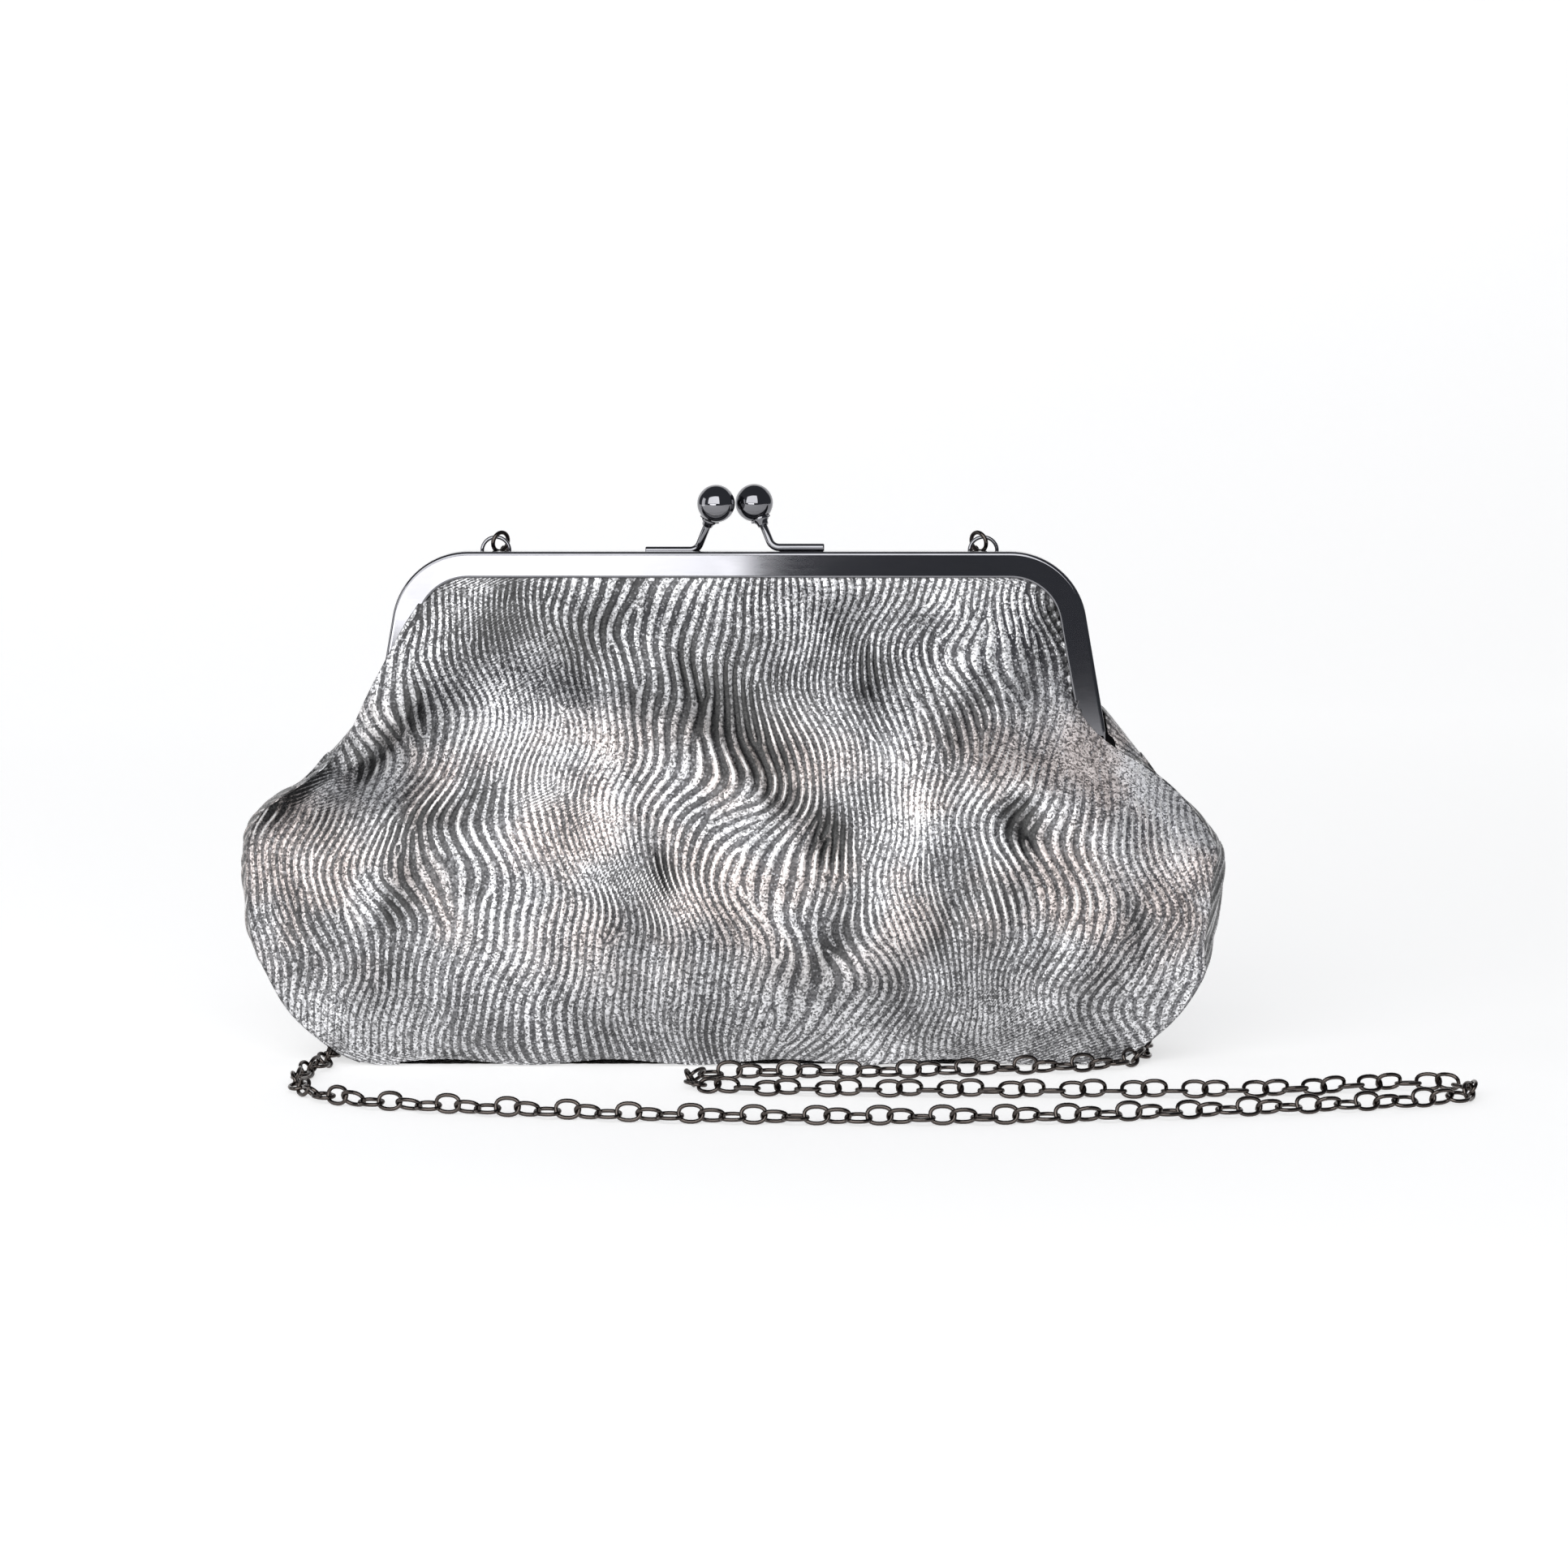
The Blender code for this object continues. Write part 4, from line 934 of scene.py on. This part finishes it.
def panel(half, folds, seed, material):
    """Ribbed outer cloth of one side, one grid with its edges turned in at the seams."""
    heights = np.linspace(PANEL_BOTTOM, PANEL_TOP[half], ROWS)
    points, free = panel_base(half, heights, np.linspace(-1.0, 1.0, COLUMNS))
    x, z = points[..., 0], points[..., 2]
    height, shade = add_folds(x, z, folds)
    dimples = DIMPLE_HEIGHT * np.sin(2 * np.pi * (x * 1.1 + z * 0.6) / 0.043)
    dimples *= np.sin(2 * np.pi * (z - 0.4 * x) / 0.037)
    phase = stripes(x, z, seed)
    rib = 0.5 + 0.5 * np.tanh(2.2 * np.cos(phase))
    held = np.clip(free * 5.0, 0.0, 1.0) * smooth_step((0.1368 - z) / 0.006)
    held = held * smooth_step((z - PANEL_BOTTOM) / 0.003)
    moved = (height + dimples) * held + RIDGE_HEIGHT * rib * (0.25 + 0.75 * held)
    if half == "front":
        near = np.exp(-(((frame_edge(z, FACE_WIDTH) - x) / GATHER_REACH) ** 2))
        near *= smooth_step((z - 0.094) / 0.006) * smooth_step((0.131 - z) / 0.006)
        gathers = near * np.sin(2 * np.pi * (z - 0.9 * x) / GATHER_PITCH)
        moved += GATHER_HEIGHT * gathers
        # painted shade in the gathers beside the right leg
        shade -= GATHER_PAINTED_SHADE * near * (0.8 + 0.8 * gathers)
    hem = HEM_WAVE * (np.sin(2 * np.pi * x / HEM_PITCH) * np.exp(-z / 0.004) + np.exp(-z / 0.003))
    points = points + surface_normals(points, SIDE_SIGN[half]) * moved[..., None]
    points[..., 2] += hem * (np.abs(x) < BASE_HALF)
    edges = [turned_in(points[:, column], half, side, heights) for side, column in ((-1, 0), (1, -1))]
    points = np.concatenate([edges[0][:, ::-1], points, edges[1]], 1)
    pad = ((0, 0), (WRAP_COLUMNS, WRAP_COLUMNS))
    phase, shade = np.pad(phase, pad, "edge"), np.pad(shade, pad, "edge")
    steps = np.linalg.norm(np.diff(points, axis=1), axis=2) * 2 * np.pi / STRIPE_PITCH
    wrap = WRAP_COLUMNS
    phase[:, :wrap] -= np.cumsum(steps[:, :wrap][:, ::-1], axis=1)[:, ::-1]
    phase[:, -wrap:] += np.cumsum(steps[:, -wrap:], axis=1)
    thing = piece_from(f"{half}_cloth", points.reshape(-1, 3), grid_quads(*points.shape[:2]), material)
    set_weave_and_shade(thing, phase, shade)
    return thing


def turned_in(rim, half, side, heights):
    """Extra columns that carry a rim into the seam, or round the hinge's outer side above the gusset."""
    sign = SIDE_SIGN[half]
    wraps = smooth_step((heights - WRAP_BOTTOM) / 0.006)
    wraps = (wraps * smooth_step((WRAP_TOP[half, side] - heights) / 0.004))[:, None]
    leg = np.maximum(frame_edge(heights, 0.0), FRAME_HALF_WIDTH * (heights < LEG_KINK_Z))
    leg = leg + LEG_CLEARANCE + RIVET_CLEARANCE * smooth_step((0.0916 - heights) / 0.0022)
    inner_x = side * np.minimum(leg, np.abs(rim[:, 0]))
    inner_y = 0.0004 * sign if half == "front" else -0.0024
    seam = np.array((-side * 0.0012, -sign * 0.0010, 0.0))
    columns = []
    for t in np.arange(1, WRAP_COLUMNS + 1) / WRAP_COLUMNS:
        round_in = rim.copy()
        round_in[:, 0] = inner_x + (rim[:, 0] - inner_x) * math.cos(math.pi / 2 * t)
        round_in[:, 1] = rim[:, 1] + (inner_y - rim[:, 1]) * math.sin(math.pi / 2 * t)
        columns.append((rim + seam * t) * (1 - wraps) + round_in * wraps)
    return np.stack(columns, 1)


def seam_lines():
    """Front and back seams from the right shoulder, under the base, to the left shoulder."""
    heights = np.linspace(SEAM_TOP, 0.0006, 130)
    lines = []
    for half in ("front", "back"):
        sign = SIDE_SIGN[half]
        y = sign * (np.interp(heights, *zip(*GUSSET_HALF)) - 0.0003)
        right, left = [
            np.stack([side * (rim_x(half, side, heights) - SEAM_INSET), y, heights], 1) for side in (1, -1)
        ]
        x = np.linspace(0.0985, -0.1000, 190)
        base = np.stack([x, np.full_like(x, sign * 0.0212), np.full_like(x, 0.0005)], 1)
        lines.append(np.concatenate([right, base, left[::-1]]))
    return lines


def strip_between_seams(count):
    """The strip's points, its middle line, the outward directions along it, and the share across it."""
    front, back = seam_lines()
    t = np.linspace(0.0, 1.0, count)[None, :, None]
    points = front[:, None] * (1 - t) + back[:, None] * t
    middle = (front + back) / 2
    along = unit(np.gradient(middle, axis=0))
    out = np.stack([along[:, 2], np.zeros(len(along)), -along[:, 0]], 1)
    out *= np.sign(np.sum(out * (middle - np.array((0.0, 0.0, 0.05))), 1))[:, None]
    return points, middle, out, t


def gusset(material):
    """Side and bottom strip between the two seams, crowned outwards at the sides."""
    points, middle, out, t = strip_between_seams(44)
    lift = smooth_step((middle[:, 2] - 0.004) / 0.030) * smooth_step((0.0860 - middle[:, 2]) / 0.030)
    bow = 4 * t * (1 - t)
    steps = np.linalg.norm(np.diff(middle, axis=0), axis=1)
    run = np.concatenate([[0.0], np.cumsum(steps)])[:, None]
    across = points[..., 1]
    slant = 0.60 * across + 0.0014 * np.sin(2 * np.pi * run / 0.035)
    phase = 2 * np.pi * (slant + 0.85 * run) / GUSSET_RIB_PITCH
    rib = GUSSET_RIB_HEIGHT * (0.5 + 0.5 * np.tanh(2.0 * np.cos(phase)))
    puckers = PUCKER_HEIGHT * np.sin(2 * np.pi * run / PUCKER_PITCH + 450.0 * across) * (bow[..., 0] - 0.2)
    crown = out[:, None] * (GUSSET_CROWN * bow * lift[:, None, None])
    relief = out[:, None] * ((rib + puckers) * (0.15 + lift[:, None]))[..., None]
    points = points + crown + relief
    points[..., 2] = np.maximum(points[..., 2], 0.00005)
    thing = piece_from("gusset_cloth", points.reshape(-1, 3), grid_quads(*points.shape[:2]), material)
    # the whole strip is darkened with painted shade
    set_weave_and_shade(thing, phase, np.full_like(phase, GUSSET_PAINTED_SHADE))
    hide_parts("gusset")
    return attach(thing, "bag")


def seam_cord(half, material):
    """Thin rolled seam where a panel meets the gusset."""
    line = seam_lines()[0 if half == "front" else 1]
    line = line[line[:, 2] > 0.0010]
    sign = SIDE_SIGN[half]
    parts = []
    for side in (1, -1):
        own = line[np.sign(line[:, 0]) == side]
        own = own + np.array((side * 0.0002, -sign * 0.0001, 0.0))
        parts.append(wire_part(own[::2], SEAM_RADIUS, (0, 1, 0), 8))
    thing = piece_of(f"{half}_seam", parts, material)
    run = np.arange(len(thing.data.vertices)) // 8
    set_weave_and_shade(thing, run * 1.9, np.full(len(run), SEAM_TONE))
    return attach(thing, "bag")


def lining(half, material):
    """Satin lining a little inside the outer cloth."""
    heights = np.linspace(0.0075, PANEL_TOP[half] - 0.0015, 60)
    points, free = panel_base(half, heights, np.linspace(-0.985, 0.985, 110))
    gap = np.interp(heights, *zip(*LINING_GAP))[:, None, None]
    sag = LINING_SAG * np.sin(2 * np.pi * points[..., 0] / 0.031 + 40.0 * points[..., 2]) * free
    points = points - surface_normals(points, SIDE_SIGN[half]) * (gap + sag[..., None])
    points[..., 1] = SIDE_SIGN[half] * np.maximum(np.abs(points[..., 1]), 0.0012)
    thing = piece_from(f"{half}_lining_cloth", points.reshape(-1, 3), grid_quads(*points.shape[:2]), material)
    return thing


def gusset_lining(material):
    """Lining of the side and bottom strip."""
    points, middle, out, _ = strip_between_seams(16)
    points = points - out[:, None] * GUSSET_LINING_GAP
    points[..., 2] = np.maximum(points[..., 2], GUSSET_LINING_GAP)
    points = points[middle[:, 2] < GUSSET_LINING_TOP][::2]
    thing = piece_from("gusset_lining_cloth", points.reshape(-1, 3), grid_quads(*points.shape[:2]), material)
    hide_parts("gusset_lining")
    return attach(thing, "bag")


# Studio.


def stage_piece(name, points, quads, material):
    thing = piece_from(name, points, quads, material)
    return thing


def backdrop():
    """Pale sheet: flat floor that curves up behind the bag."""
    material = new_material("pale_sheet", (0.62, 0.62, 0.62), 0.9)
    into_shader(material, Emission_Color=(1.0, 1.0, 1.0, 1.0), Emission_Strength=0.62)
    line = [(-0.90, 0.0), (0.0, 0.0), (0.9, 0.0)]
    line += [(0.9 + 0.5 * math.sin(a), 0.5 - 0.5 * math.cos(a)) for a in np.radians(np.linspace(6, 90, 15))]
    line += [(1.4, 1.6)]
    points = [[(x, y, z - 0.00002) for x in (-1.8, 0.0, 1.8)] for y, z in line]
    return stage_piece("backdrop", np.array(points).reshape(-1, 3), grid_quads(len(line), 3), material)


def softbox(name, centre, width, height, power, turn=(90.0, 0.0, 0.0)):
    light = bpy.data.lights.new(name, "AREA")
    light.shape = "RECTANGLE"
    light.size = width
    light.size_y = height
    light.energy = power
    thing = bpy.data.objects.new(name, light)
    thing.location = centre
    thing.rotation_euler = [math.radians(a) for a in turn]
    bpy.context.collection.objects.link(thing)
    return thing


def studio():
    backdrop()
    softbox("key_softbox", (-0.52, -1.36, 0.93), 2.10, 1.44, 29.0)
    softbox("low_card", (-0.503, -1.33, 0.075), 0.99, 0.15, 2.4)
    softbox("edge_card", (-0.95, -0.12, 0.30), 0.40, 0.60, 1.3, (90.0, 0.0, -90.0))
    world = bpy.data.worlds.new("dim_room")
    world.use_nodes = True
    world.node_tree.nodes["Background"].inputs[0].default_value = (0.10, 0.105, 0.12, 1.0)
    world.node_tree.nodes["Background"].inputs[1].default_value = 1.0
    scene = bpy.context.scene
    scene.world = world
    scene.view_settings.view_transform = "Standard"
    camera = bpy.data.cameras.new("camera")
    camera.lens = CAMERA_LENS_MM
    camera.sensor_width = CAMERA_SENSOR_MM
    view = bpy.data.objects.new("camera", camera)
    view.location = CAMERA_PLACE
    view.rotation_euler = (math.radians(90.0 - CAMERA_TILT_DEG), 0.0, 0.0)
    bpy.context.collection.objects.link(view)
    scene.camera = view


def repaint(name, material):
    """Give a carried CAD node its own procedural finish."""
    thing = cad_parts[name]
    thing.data.materials.clear()
    thing.data.materials.append(material)


gunmetal = polished_material("gunmetal", GUNMETAL, 0.075)
chain_metal = polished_material("chain_metal", DARK_STEEL, 0.15)
glitter = glitter_material()
satin = woven_material("satin_lining", SATIN, SATIN_LIGHT, 0.42, 900.0, (1.0, 1.0, 8.0), 0.00005)
card = woven_material("card", CARD, CARD_DARK, 0.85, 400.0, (1.0, 3.0, 1.0), 0.0001)
paper = woven_material("twisted_paper", PAPER, PAPER_DARK, 0.9, 700.0, (1.0, 1.0, 1.0), 0.0001)

chain(chain_metal)
for word, side in (("right", 1), ("left", -1)):
    strap_fitting(word, side, gunmetal, chain_metal)
    repaint(f"hinge_rivet_{word}", gunmetal)
for half in ("front", "back"):
    frame_half(half, gunmetal)
    lock(half, gunmetal)
    repaint(f"{half}_channel_cord", paper)
repaint("base_board", card)

front_cloth = panel("front", FRONT_FOLDS, 11, glitter)
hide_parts("front_panel_upper", "front_panel_lower", "front_wadding")
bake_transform(front_cloth)
back_cloth = panel("back", BACK_FOLDS, 23, glitter)
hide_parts("back_panel", "back_wadding")
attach(back_cloth, "bag")
gusset(glitter)
seam_cord("front", glitter)
seam_cord("back", glitter)
front_lining = lining("front", satin)
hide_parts("front_lining_upper", "front_lining_lower")
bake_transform(front_lining)
back_lining = lining("back", satin)
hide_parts("back_lining")
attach(back_lining, "bag")
gusset_lining(satin)
studio()
